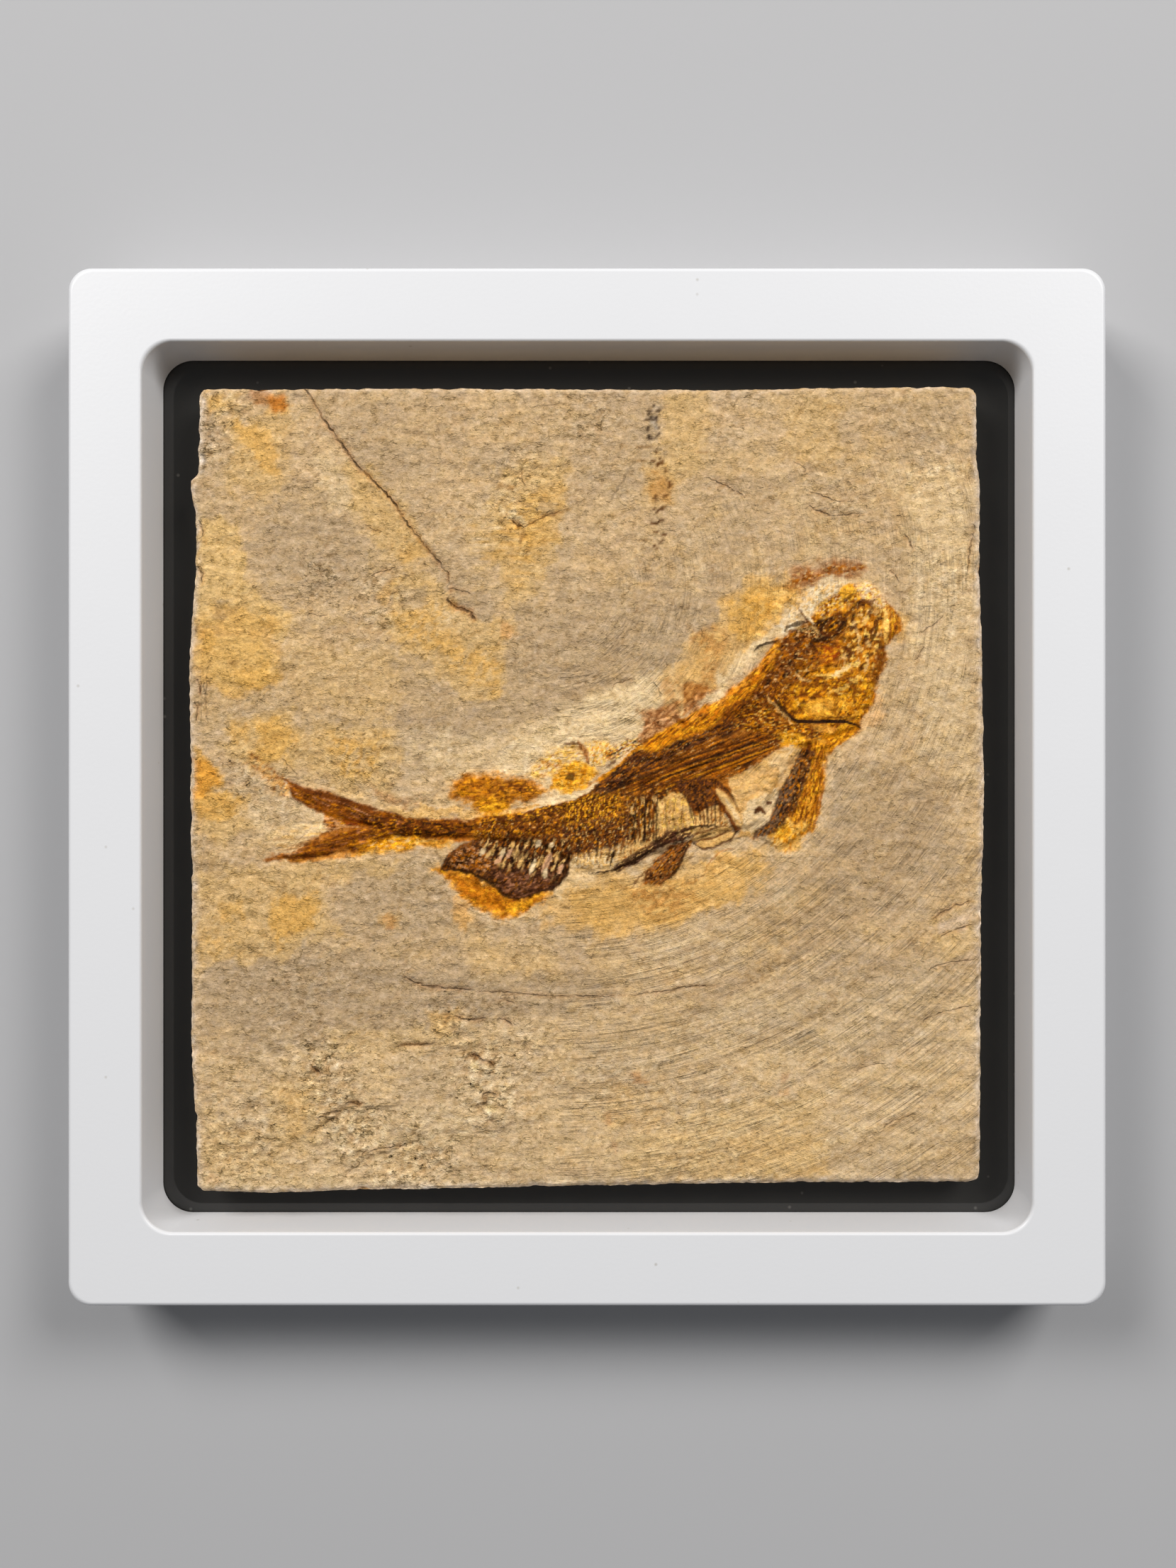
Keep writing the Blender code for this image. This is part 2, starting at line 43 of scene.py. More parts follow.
# ---- Table top and studio ---------------------------------------------------------------
# The framed stone lies on its back on a pale matt table, under two soft boxes that stand to
# the upper left and upper right. The camera looks straight down on it.
TABLE_SIDE = 6.0
TABLE_COLOUR = (0.50, 0.50, 0.51, 1.0)
TABLE_DULL = 0.9
FACE_HEIGHT = 20 * MM
CAMERA_DISTANCE = 285 * MM
CAMERA_ASIDE = (10.8 * MM, 2.6 * MM)
FOCAL_LENGTH = 37.8
SENSOR_WIDTH = 36.0
NEAREST_SEEN = 10 * MM
CAMERA_SHIFT = (-0.0391, -0.0077)
SOFT_BOX_SIZE = 0.50
SOFT_BOX_REACH = 1.25
SOFT_BOX_POWER = 9.2
SOFT_BOX_COLOUR = (1.0, 0.985, 0.965)
SOFT_BOX_LEAN = 0.72
ROOM_COLOUR = (0.93, 0.96, 1.0, 1.0)
FILL_LIGHT = 0.15


def nodes_of(material):
    """Empty a material's node tree and give it a fresh output and shader."""
    material.use_nodes = True
    tree = material.node_tree
    tree.nodes.clear()
    output = tree.nodes.new("ShaderNodeOutputMaterial")
    shader = tree.nodes.new("ShaderNodeBsdfPrincipled")
    tree.links.new(shader.outputs["BSDF"], output.inputs["Surface"])
    return tree, shader


def feed(tree, node, inputs):
    """Give each named input of a shader node a socket to follow, or a value."""
    for name, given in inputs.items():
        given = getattr(given, "socket", given)
        if isinstance(given, bpy.types.NodeSocket):
            tree.links.new(given, node.inputs[name])
        else:
            node.inputs[name].default_value = given


def lay_table():
    bpy.ops.object.select_all(action="DESELECT")
    bpy.ops.mesh.primitive_plane_add(size=TABLE_SIDE, location=(0.0, 0.0, 0.0))
    table = bpy.context.object
    table.name = "table"
    paint = bpy.data.materials.new("table_paint")
    tree, shader = nodes_of(paint)
    feed(tree, shader, {"Base Color": TABLE_COLOUR, "Roughness": TABLE_DULL})
    table.data.materials.append(paint)


def hang_soft_box(name, aside):
    """A square soft box at 45 degrees, aimed at the stone."""
    panel = bpy.data.lights.new(name, "AREA")
    panel.shape = "SQUARE"
    panel.size = SOFT_BOX_SIZE
    panel.energy = SOFT_BOX_POWER
    panel.color = SOFT_BOX_COLOUR
    holder = bpy.data.objects.new(name, panel)
    bpy.context.scene.collection.objects.link(holder)
    direction = Vector((aside, SOFT_BOX_LEAN, 1.0)).normalized()
    holder.location = direction * SOFT_BOX_REACH
    holder.rotation_euler = direction.to_track_quat("Z", "Y").to_euler()


def set_camera():
    lens = bpy.data.cameras.new("camera")
    lens.lens = FOCAL_LENGTH
    lens.sensor_width = SENSOR_WIDTH
    lens.shift_x, lens.shift_y = CAMERA_SHIFT
    lens.clip_start = NEAREST_SEEN
    camera = bpy.data.objects.new("camera", lens)
    bpy.context.scene.collection.objects.link(camera)
    camera.location = (*CAMERA_ASIDE, FACE_HEIGHT + CAMERA_DISTANCE)
    bpy.context.scene.camera = camera


def fill_the_room():
    world = bpy.data.worlds.new("studio")
    world.use_nodes = True
    sky = world.node_tree.nodes["Background"]
    feed(world.node_tree, sky, {"Color": ROOM_COLOUR, "Strength": FILL_LIGHT})
    bpy.context.scene.world = world
    bpy.context.scene.view_settings.view_transform = "Standard"


lay_table()
hang_soft_box("soft_box_left", -SOFT_BOX_LEAN)
hang_soft_box("soft_box_right", SOFT_BOX_LEAN)
set_camera()
fill_the_room()


# ---- White frame, in two halves ---------------------------------------------------------
# The holder is a square moulding of white satin plastic in a front and a back half, which
# close on the black plate. Each half is one ring: outlines joined in turn round its section.
FRAME_SIDE = 180 * MM
FRAME_CORNER = 4 * MM
WINDOW_SIDE = 154.4 * MM
WINDOW_FOOT = 152.4 * MM
WINDOW_CORNER = 5.4 * MM
HALF_TOP = 10 * MM
PARTING_GAP = 0.3 * MM
SHELF_HEIGHT = 8 * MM
POCKET_SIDE = 164.6 * MM
POCKET_CORNER = 5.7 * MM
CORNER_FACETS = 14
SAME_PLACE = 0.01 * MM
WELD = 0.001 * MM
MOULDED_SMOOTH = 40.0
GRAIN_HEIGHT = 0.05 * MM
# rounded edges: (width, facets)
FACE_ROUND = (1.0 * MM, 6)
PARTING_ROUND = (0.4 * MM, 3)
WINDOW_ROUND = (0.6 * MM, 4)
WHITE_PLASTIC = {
    "colour": (0.835, 0.84, 0.86, 1.0), "gloss": 0.30, "smears": 0.14, "dust": 0.03,
    "dust_colour": (0.62, 0.60, 0.57, 1.0), "grain_depth": 0.25}


def outline(side, corner, height):
    """A square outline with rounded corners: edges only, at a height."""
    bpy.ops.object.select_all(action="DESELECT")
    bpy.ops.mesh.primitive_plane_add(size=side, location=(0.0, 0.0, height))
    bpy.ops.object.transform_apply(location=True)
    bpy.ops.object.mode_set(mode="EDIT")
    bpy.ops.mesh.select_all(action="SELECT")
    bpy.ops.mesh.bevel(offset=corner, segments=CORNER_FACETS, affect="VERTICES", profile=0.5)
    bpy.ops.mesh.delete(type="ONLY_FACE")
    bpy.ops.object.mode_set(mode="OBJECT")
    return bpy.context.object


def select_edges(piece, wanted):
    """Leave only the wanted edges of a piece selected, in edit mode."""
    bpy.ops.object.mode_set(mode="EDIT")
    bpy.ops.mesh.select_mode(type="EDGE")
    bpy.ops.mesh.select_all(action="DESELECT")
    bpy.ops.object.mode_set(mode="OBJECT")
    points = piece.data.vertices
    for edge in piece.data.edges:
        edge.select = wanted(points[edge.vertices[0]], points[edge.vertices[1]])
    bpy.ops.object.mode_set(mode="EDIT")


def off_outline(place, side, corner):
    """Distance in plan from a rounded square outline."""
    reach_x = abs(place.x) - side / 2 + corner
    reach_y = abs(place.y) - side / 2 + corner
    outside = math.hypot(max(reach_x, 0.0), max(reach_y, 0.0))
    return abs(outside + min(max(reach_x, reach_y), 0.0) - corner)


def on_ring(ends, side, corner, height):
    """Whether both ends of an edge lie on one outline at one height."""
    return all(abs(end.co.z - height) < SAME_PLACE
               and off_outline(end.co, side, corner) < 2 * SAME_PLACE for end in ends)


def round_edge(piece, side, corner, height, width, segments):
    """Round the edge that runs along one outline at one height."""
    select_edges(piece, lambda *ends: on_ring(ends, side, corner, height))
    bpy.ops.mesh.bevel(offset=width, segments=segments, affect="EDGES", profile=0.5)
    bpy.ops.object.mode_set(mode="OBJECT")


def carry_to(point, start, end):
    """Move a point from its place on one outline to the same place on another."""
    for axis in (0, 1):
        sign = math.copysign(1.0, point.co[axis])
        bend = (sign * point.co[axis] - start[0] / 2 + start[1]) / start[1]
        point.co[axis] = sign * (end[0] / 2 - end[1] + bend * end[1])
    point.co.z = end[2]


def even_shading(piece):
    """Smooth shading that leaves broad faces flat beside their rounded edges."""
    bpy.ops.object.shade_smooth_by_angle(angle=math.radians(MOULDED_SMOOTH))
    bpy.ops.object.modifier_add(type="WEIGHTED_NORMAL")
    evening = piece.modifiers[-1]
    evening.weight = 100
    evening.keep_sharp = True
    bpy.ops.object.modifier_apply(modifier=evening.name)


def moulding(name, section, rounds):
    """A closed ring: one outline (side, corner, height) drawn out to each of the next ones."""
    piece = outline(*section[0])
    piece.name = name
    bpy.ops.object.mode_set(mode="EDIT")
    bpy.ops.mesh.select_all(action="SELECT")
    for start, end in zip(section, section[1:] + section[:1]):
        bpy.ops.mesh.extrude_edges_move()
        bpy.ops.object.mode_set(mode="OBJECT")
        for point in piece.data.vertices:
            if point.select:
                carry_to(point, start, end)
        bpy.ops.object.mode_set(mode="EDIT")
    bpy.ops.mesh.select_all(action="SELECT")
    bpy.ops.mesh.remove_doubles(threshold=WELD)
    bpy.ops.mesh.normals_make_consistent(inside=False)
    bpy.ops.object.mode_set(mode="OBJECT")
    for side, corner, height, width, segments in rounds:
        round_edge(piece, side, corner, height, width, segments)
    even_shading(piece)
    return piece


def add_node(tree, kind, inputs=(), **settings):
    """A new shader node with its settings made and its inputs fed."""
    made = tree.nodes.new("ShaderNode" + kind)
    for name, choice in settings.items():
        setattr(made, name, choice)
    feed(tree, made, dict(inputs))
    return made


class Figure:
    """A number in a node tree; arithmetic on it adds the Math nodes that work it out."""

    def __init__(self, tree, socket):
        self.tree = tree
        self.socket = socket

    def math(self, operation, first, second=0.0):
        made = add_node(self.tree, "Math", {0: first, 1: second}, operation=operation)
        return Figure(self.tree, made.outputs["Value"])

    def __add__(self, other):
        return self.math("ADD", self, other)

    def __sub__(self, other):
        return self.math("SUBTRACT", self, other)

    def __rsub__(self, other):
        return self.math("SUBTRACT", other, self)

    def __mul__(self, other):
        return self.math("MULTIPLY", self, other)

    def band(self, start, end, curve="SMOOTHSTEP"):
        """The number eased from 0 at start to 1 at end."""
        limits = {"Value": self, "From Min": start, "From Max": end}
        made = add_node(self.tree, "MapRange", limits, interpolation_type=curve)
        return Figure(self.tree, made.outputs["Result"])


def node_group(name, inputs, outputs):
    """An empty shader node group; inputs are vectors or numbers, outputs are numbers."""
    group = bpy.data.node_groups.new(name, "ShaderNodeTree")
    for socket, kind in inputs.items():
        group.interface.new_socket(socket, in_out="INPUT", socket_type="NodeSocket" + kind)
    for socket in outputs:
        group.interface.new_socket(socket, in_out="OUTPUT", socket_type="NodeSocketFloat")
    return group, group.nodes.new("NodeGroupInput").outputs, group.nodes.new("NodeGroupOutput")


def handling_marks():
    """Shared node group: faint smears, specks of dust and the fine grain of moulded plastic."""
    group, given, result = node_group(
        "handling_marks", {"Place": "Vector", "Smears": "Float", "Dust": "Float"},
        ("Roughness", "Dust Mask", "Height"))
    place = given["Place"]
    smear = add_node(group, "TexNoise",
                     {"Vector": place, "Scale": 38.0, "Detail": 6.0, "Distortion": 0.8})
    speck = add_node(group, "TexVoronoi", {"Vector": place, "Scale": 420.0})
    chance = add_node(group, "SeparateColor", {"Color": speck.outputs["Color"]})
    chance = Figure(group, chance.outputs["Red"])
    rare = chance.math("LESS_THAN", chance, given["Dust"])
    grain = add_node(group, "TexNoise", {"Vector": place, "Scale": 1500.0, "Detail": 3.0})
    feed(group, result, {
        "Roughness": Figure(group, smear.outputs["Fac"]) * given["Smears"],
        "Dust Mask": Figure(group, speck.outputs["Distance"]).band(0.16, 0.04, "LINEAR") * rare,
        "Height": grain.outputs["Fac"]})
    return group


MARKS = handling_marks()


def plastic(name, colour, gloss, smears, dust, dust_colour, grain_depth):
    """Moulded plastic with handling marks; gloss is its cleanest roughness."""
    made = bpy.data.materials.new(name)
    tree, shader = nodes_of(made)
    place = add_node(tree, "TexCoord").outputs["Object"]
    marks = add_node(tree, "Group", {"Place": place, "Smears": smears, "Dust": dust},
                     node_tree=MARKS).outputs
    tint = add_node(tree, "Mix", {"Factor": marks["Dust Mask"], "A": colour, "B": dust_colour},
                    data_type="RGBA")
    bump = add_node(tree, "Bump", {"Strength": grain_depth, "Distance": GRAIN_HEIGHT,
                                   "Height": marks["Height"]})
    feed(tree, shader, {"Base Color": tint.outputs["Result"], "Normal": bump.outputs["Normal"],
                        "Roughness": Figure(tree, marks["Roughness"]) + gloss})
    return made


def frame_halves():
    white = plastic("white_satin_plastic", **WHITE_PLASTIC)
    foot = HALF_TOP + PARTING_GAP
    side, window = (FRAME_SIDE, FRAME_CORNER), (WINDOW_SIDE, WINDOW_CORNER)
    pocket, window_foot = (POCKET_SIDE, POCKET_CORNER), (WINDOW_FOOT, WINDOW_CORNER)
    front = moulding(
        "front_moulding",
        [(*side, foot), (*side, FACE_HEIGHT), (*window, FACE_HEIGHT), (*window_foot, foot)],
        [(*side, FACE_HEIGHT, *FACE_ROUND), (*side, foot, *PARTING_ROUND),
         (*window, FACE_HEIGHT, *WINDOW_ROUND)])
    back = moulding(
        "back_moulding",
        [(*side, 0.0), (*side, HALF_TOP), (*pocket, HALF_TOP), (*pocket, SHELF_HEIGHT),
         (*window_foot, SHELF_HEIGHT), (*window, 0.0)],
        [(*side, 0.0, *FACE_ROUND), (*side, HALF_TOP, *PARTING_ROUND),
         (*window, 0.0, *WINDOW_ROUND)])
    for piece, node in ((front, "frame_front"), (back, "frame_back")):
        piece.data.materials.append(white)
        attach(piece, "root")
        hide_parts(node)


frame_halves()


# ---- Black backing plate ----------------------------------------------------------------
# A flat sheet of glossy black plastic, caught by its rim between the two halves. The stone
# lies on it, and it mirrors the window's walls along the open channel round the stone.
PLATE_SIDE = 164 * MM
PLATE_CORNER = 5.4 * MM
PLATE_THICK = 1.7 * MM
PLATE_ROUND = (0.25 * MM, 2)
BLACK_PLASTIC = {
    "colour": (0.0285, 0.0272, 0.0250, 1.0), "gloss": 0.02, "smears": 0.03, "dust": 0.10,
    "dust_colour": (0.10, 0.095, 0.085, 1.0), "grain_depth": 0.02}


def black_plate():
    foot = HALF_TOP - PLATE_THICK
    plate = outline(PLATE_SIDE, PLATE_CORNER, foot)
    plate.name = "black_plate"
    bpy.ops.object.mode_set(mode="EDIT")
    bpy.ops.mesh.select_all(action="SELECT")
    bpy.ops.mesh.edge_face_add()
    bpy.ops.mesh.extrude_region_move(TRANSFORM_OT_translate={"value": (0.0, 0.0, PLATE_THICK)})
    bpy.ops.mesh.select_all(action="SELECT")
    bpy.ops.mesh.normals_make_consistent(inside=False)
    bpy.ops.object.mode_set(mode="OBJECT")
    for height in (HALF_TOP, foot):
        round_edge(plate, PLATE_SIDE, PLATE_CORNER, height, *PLATE_ROUND)
    even_shading(plate)
    plate.data.materials.append(plastic("black_gloss_plastic", **BLACK_PLASTIC))
    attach(plate, "root")
    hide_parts("backing_plate")


black_plate()


# ---- The stone --------------------------------------------------------------------------
# One thin square of tan shale, split along its bedding so that the fish lies in the fresh
# face. Its sides are broken, its back is flat. Iron has stained it ochre in patches. From here
# on sizes are in millimetres, and the outlines and lines given to at() in tenths of one.
SLAB_FOOT = 10.3
SLAB_FACE = 17.0
RIM_WIDTH = 0.7
RIM_DROP = 0.75
RIM_BUMPS = 0.22
CHIP_DROP = 0.7
SLAB_CORNER = 1.6
SLAB_WIDTH = 137.0
SLAB_LENGTH = 139.0
HALF_SLAB = 69.0
TOP_RIM = 68.5
STONE_COLUMNS = 286
STONE_ROWS = 290
RIM_STEPS = (0.32, 0.42, 0.60, 0.80)
STONE_SMOOTH = 55.0
# the broken side from the face down: (height, how far it is set in), and how it wanders
BROKEN_SIDE = [(15.8, 0.05), (15.2, 0.0), (14.5, 0.25), (13.8, 0.15), (13.1, 0.4), (12.4, 0.3),
               (11.6, 0.55), (10.9, 0.5), (SLAB_FOOT, 0.9)]
SIDE_WANDER = 0.16
# how tall the relief of the bare rock is, kind by kind
WAVES = 0.45
RIPPLES = 0.08
BROKEN_LUMPS = 0.75
CRUMBS = 0.45
SCORING = 0.060
UNEVENNESS = 0.065
SCRAPE_WIDTH = 0.4
PRESSED = 0.35
FLAKE_EDGE = 0.07
CLOUD_CELLS = 64
# how strongly the relief's tone with its painted shade and highlight, and clotted film, darken red, green
# and blue
TONE_AND_SHADE_SHARES = [0.75, 1.0, 1.35]
CLOT_SHARES = [0.42, 0.62, 0.95]


def at(*places):
    """Points of a line or outline in millimetres; x and y in turn are given in tenths of one."""
    steps = [place / 10 for place in places]
    return list(zip(steps[::2], steps[1::2]))


# the broken outline, side by side
TOP_SIDE = at(-682, 697, -505, 697, -354, 698, -192, 698, -30, 696, 51, 696, 293, 696, 374, 698, 630, 700,
    680, 698)
RIGHT_SIDE = at(680, 698, 681, 620, 683, 556, 687, 544, 687, 360, 690, 283, 693, 131, 695, -10, 693, -91,
    689, -232, 688, -455, 687, -606, 686, -692)
BOTTOM_SIDE = at(-684, -707, -592, -711, -512, -711, -431, -708, -273, -704, -30, -699, 131, -696,
    374, -693, 616, -692, 686, -692)
LEFT_SIDE = at(-682, 697, -679, 646, -683, 625, -678, 610, -683, 590, -680, 570, -682, 549, -695, 535,
    -694, 512, -687, 481, -687, 360, -694, 283, -698, 211, -696, -10, -694, -162, -694, -455, -690, -533,
    -685, -606, -684, -707)

# closed outlines of the fish, and how far each part stands proud of the rock
FISH_BODY = at(-348, -57, -221, -52, -159, -48, -100, -34, -47, -22, 7, -3, 77, 47, 157, 102, 201, 137,
    295, 201, 316, 242, 364, 316, 405, 350, 466, 370, 507, 352, 538, 310, 549, 280, 526, 251, 519, 223,
    493, 139, 478, 104, 419, 81, 377, 67, 342, 15, 317, -29, 313, -62, 274, -77, 224, -81, 182, -99,
    102, -126, 45, -148, 5, -153, -35, -131, -84, -106, -159, -96, -348, -86)
TAIL_UPPER = at(-519, 4, -457, -11, -407, -26, -363, -41, -336, -59, -338, -76, -405, -64, -457, -52,
    -493, -37, -522, -16)
TAIL_LOWER = at(-550, -125, -513, -110, -477, -95, -449, -78, -400, -67, -338, -69, -336, -84, -382, -104,
    -444, -119, -491, -124)
ANAL_FIN = at(-283, -86, -159, -94, -84, -104, -32, -128, -35, -148, -46, -165, -83, -182, -123, -194,
    -144, -191, -169, -168, -206, -151, -254, -141)
DORSAL_FIN = at(-234, -17, -226, 3, -214, 18, -146, 20, -95, 13, -72, -6, -94, -22, -134, -38, -186, -46,
    -226, -37)
PELVIC_FIN = at(95, -165, 81, -173, 120, -130, 151, -108, 182, -94, 199, -106, 174, -134, 147, -156)
PECTORAL_FIN = at(390, 83, 373, 45, 348, -11, 324, -48, 295, -89, 336, -112, 379, -81, 398, -48, 407, 14,
    421, 75)
PALE_HOLLOW = at(245, 15, 288, 33, 332, 65, 372, 62, 362, 33, 345, 5, 331, -17, 320, -44, 312, -69,
    285, -91, 263, -86, 270, -64, 263, -39, 253, -12)
FOSSIL_EDGE = at(-535, 25, -469, 10, -407, -7, -332, -27, -275, -20, -248, 18, -208, 37, -109, 35, -74, 65,
    -35, 92, 2, 92, 64, 95, 114, 119, 164, 137, 213, 155, 250, 199, 275, 256, 312, 300, 330, 345, 342, 382,
    387, 402, 449, 407, 501, 397, 521, 362, 553, 328, 573, 283, 563, 246, 538, 230, 535, 199, 521, 174,
    531, 149, 511, 124, 498, 87, 461, 60, 436, 40, 434, -24, 424, -74, 399, -106, 362, -131, 312, -129,
    275, -124, 238, -156, 182, -166, 151, -188, 108, -196, 64, -188, 40, -166, 0, -171, -20, -181,
    -40, -210, -72, -230, -128, -245, -183, -235, -233, -208, -275, -173, -280, -146, -270, -119,
    -307, -116, -382, -134, -444, -143, -506, -148, -573, -143, -573, -111, -518, -99, -486, -69, -498, -49,
    -533, -24, -550, 0)
EDDY = (-5.0, 35.0)
RAISED = [(FISH_BODY, 0.65, 1.2), (TAIL_UPPER, 0.45, 0.8), (TAIL_LOWER, 0.45, 0.8), (ANAL_FIN, 0.40, 0.7),
    (DORSAL_FIN, 0.30, 0.7), (PELVIC_FIN, 0.35, 0.6), (PECTORAL_FIN, 0.40, 0.7)]

# cracks: (points, depth, half width); ledges: (points, drop, reach), lower on the right
CRACKS = [
    (at(-502, 712, -466, 650, -424, 590, -403, 561, -379, 539, -341, 501, -316, 461, -283, 420, -263, 396,
     -244, 372, -236, 329), 0.6, 0.42),
    (at(-247, 331, -240, 320, -232, 314, -216, 310, -205, 305, -195, 288), 0.75, 0.52),
    (at(-248, 345, -233, 346, -216, 342, -201, 335), 0.3, 0.3),
    (at(-322, -332, -304, -341, -283, -349, -233, -353, -192, -357), 0.45, 0.38),
    (at(-192, -357, -128, -360, -87, -365, 22, -367, 74, -365), 0.28, 0.3),
    (at(74, -365, 115, -360, 148, -355, 171, -350, 226, -348), 0.3, 0.34),
    (at(-233, -401, -216, -407, -195, -407, -175, -404), 0.4, 0.34),
    (at(-159, -369, -131, -376, -126, -380), 0.25, 0.28),
    (at(205, 541, 226, 533, 243, 526, 260, 516, 278, 507), 0.3, 0.3),
    (at(359, 568, 372, 563, 383, 553), 0.25, 0.26),
    (at(388, 515, 408, 510, 436, 499, 469, 499), 0.32, 0.28),
    (at(384, 492, 399, 484, 412, 480, 426, 473), 0.42, 0.32),
    (at(426, 473, 449, 475, 469, 478, 487, 475), 0.25, 0.26),
    (at(555, 442, 563, 428, 571, 412), 0.42, 0.32),
    (at(527, 381, 538, 370, 545, 357), 0.38, 0.32),
    (at(622, 300, 612, 288, 595, 278, 580, 266), 0.3, 0.3),
    (at(588, 246, 581, 231, 573, 218), 0.28, 0.3),
    (at(679, 458, 672, 432, 667, 397, 664, 366), 0.35, 0.3),
    (at(42, 176, 52, 181, 64, 184, 77, 189), 0.28, 0.3),
    (at(114, 184, 124, 171, 129, 155), 0.3, 0.3),
    (at(-679, 464, -674, 449, -673, 434), 0.4, 0.34),
    (at(-682, 385, -674, 370, -673, 352), 0.5, 0.4),
    (at(-683, 189, -677, 176, -678, 161), 0.4, 0.34),
    (at(-687, 149, -682, 132, -684, 112), 0.4, 0.34),
    (at(-654, 230, -664, 199, -667, 149, -662, 99), 0.18, 0.34),
    (at(602, -233, 622, -220, 642, -209, 676, -198), 0.4, 0.34),
    (at(615, -262, 637, -254, 676, -239), 0.36, 0.32),
    (at(597, -317, 635, -307, 679, -300), 0.28, 0.3),
    (at(585, -409, 622, -394, 677, -381), 0.24, 0.3),
    (at(467, -498, 492, -488, 523, -483), 0.2, 0.28),
    (at(517, -595, 538, -582, 573, -572), 0.26, 0.28),
    (at(-488, 303, -469, 298, -454, 300), 0.2, 0.28),
    (at(-390, 458, -374, 449, -359, 444), 0.3, 0.3),
    (at(-377, 370, -357, 377, -337, 382), 0.3, 0.3),
    (at(-114, 562, -115, 539, -107, 521), 0.26, 0.28),
    (at(-146, 481, -138, 469, -121, 456, -109, 454, -82, 469, -59, 478, -35, 484), 0.32, 0.28),
    (at(-533, 50, -521, 35, -506, 19), 0.22, 0.26),
    (at(-187, -539, -178, -534, -166, -534, -155, -541), 0.48, 0.38),
    (at(-337, -455, -307, -451, -262, -450), 0.36, 0.44),
    (at(-214, -476, -198, -469, -183, -477, -164, -487), 0.48, 0.38),
    (at(-486, -483, -476, -494, -466, -502), 0.45, 0.38),
    (at(-420, -549, -404, -555, -388, -553), 0.45, 0.4),
    (at(-471, -579, -451, -570, -428, -565), 0.42, 0.38),
    (at(-397, -642, -357, -632, -317, -628), 0.36, 0.36),
    (at(-155, -405, -141, -411, -130, -416), 0.4, 0.34),
]
LEDGES = [
    (at(-240, 356, -290, 420, -384, 534, -430, 590, -480, 664), -0.3, 9),
    (at(-149, 481, -113, 453, -76, 473, -40, 481), 0.15, 4),
    (at(-481, -600, -454, -582, -415, -566, -360, -560), 0.7, 4),
    (at(-424, -678, -390, -648, -337, -633, -295, -614), 0.6, 4),
    (at(-331, -453, -271, -451, -202, -454), 0.4, 5),
    (at(-669, -140, -676, 20, -674, 160, -668, 300), -0.5, 3),
]
LUMPS = [
    (-17.5, -53.4, 2.2, 0.8), (-15.2, -57.4, 2.8, 0.7), (-12.1, 47.2, 1.8, 0.10),
    (-17.8, -54.2, 1.1, -0.8), (-16.2, -55.6, 1.5, 0.8), (-12.0, -54.6, 1.2, 0.4),
    (-21.6, -49.4, 1.4, -0.5), (-19.0, -47.6, 1.5, 0.5), (-45.6, -48.4, 1.3, -0.6),
    (-43.8, -49.6, 1.4, 0.5), (-41.8, -57.2, 1.5, -0.5), (-32.6, -53.8, 1.4, -0.5),
    (41.5, 14.2, 3.6, 0.30), (8.8, -50.8, 1.8, 0.5), (-29.0, -59.0, 3.4, 0.6),
    (-22.6, -62.4, 3.0, -0.6),
    (-37.0, -60.4, 2.8, -0.6), (-44.4, -52.2, 3.4, 0.5), (-51.0, -63.6, 3.2, -0.5),
    (-58.6, -56.0, 2.6, -0.4), (3.6, -58.0, 2.0, -0.4), (34.0, -21.6, 3.4, 0.5),
    (46.0, 28.6, 3.6, 0.4), (50.0, 21.0, 2.6, 0.3),
]
SCRAPES = [
    (at(213, -389, 265, -357, 317, -327, 362, -305, 408, -281), 0.2),
    (at(226, -315, 286, -300, 347, -269, 412, -243, 493, -214), 0.22),
    (at(250, -362, 300, -337, 352, -312, 399, -290), 0.16),
    (at(362, -310, 412, -272, 456, -235, 488, -208), 0.16),
    (at(523, -188, 548, -143, 573, -99, 588, -49), 0.2),
    (at(545, -198, 570, -156, 592, -111), 0.16),
    (at(580, -173, 607, -124, 627, -77, 637, -24), 0.16),
    (at(483, -161, 518, -111, 538, -62), 0.14),
    (at(436, -639, 493, -610, 560, -590), 0.14),
    (at(424, -669, 498, -644, 580, -607), 0.12),
]
# where the face is crumbled: (middle, middle, radius, share)
CRUMBLED = [
    (-46.0, -49.0, 5.0, 1.0), (-44.0, -56.5, 5.0, 1.0), (-18.5, -49.5, 5.0, 1.0),
    (-17.0, -55.5, 4.5, 1.0), (-30.0, -67.0, 7.0, 1.0), (-41.0, -60.5, 6.0, 0.9),
    (-60.0, -62.0, 8.0, 0.6), (-24.0, -41.0, 5.0, 0.6), (-12.0, -47.0, 5.0, 0.5),
    (-13.0, 47.5, 4.0, 0.8), (-11.0, 55.0, 4.5, 0.5), (-66.0, 60.0, 4.0, 0.8),
    (-36.0, 33.0, 5.0, 0.5), (-47.0, 36.0, 4.0, 0.6), (0.0, 63.0, 5.0, 0.3),
    (46.0, 50.0, 6.0, 0.4), (62.0, 36.0, 6.0, 0.4), (60.0, 55.0, 5.0, 0.4),
    (-60.0, 1.0, 6.0, 0.5), (-40.0, 4.0, 6.0, 0.4), (4.0, -52.0, 6.0, 0.4),
    (20.0, -60.0, 12.0, 0.3), (-50.0, -36.0, 7.0, 0.3), (-64.0, 64.0, 5.0, 0.6),
]
# where straight scoring shows: (middle, middle, half length, half width, share)
SCORED = [
    (-12.0, 44.0, 8.0, 6.0, 0.75), (-30.0, 14.0, 16.0, 8.0, 0.35), (-44.0, -8.0, 6.0, 2.5, 0.6),
    (-30.0, -36.0, 16.0, 2.5, 0.5), (10.0, 50.0, 12.0, 8.0, 0.4), (-56.0, 42.0, 8.0, 5.0, 0.3),
]
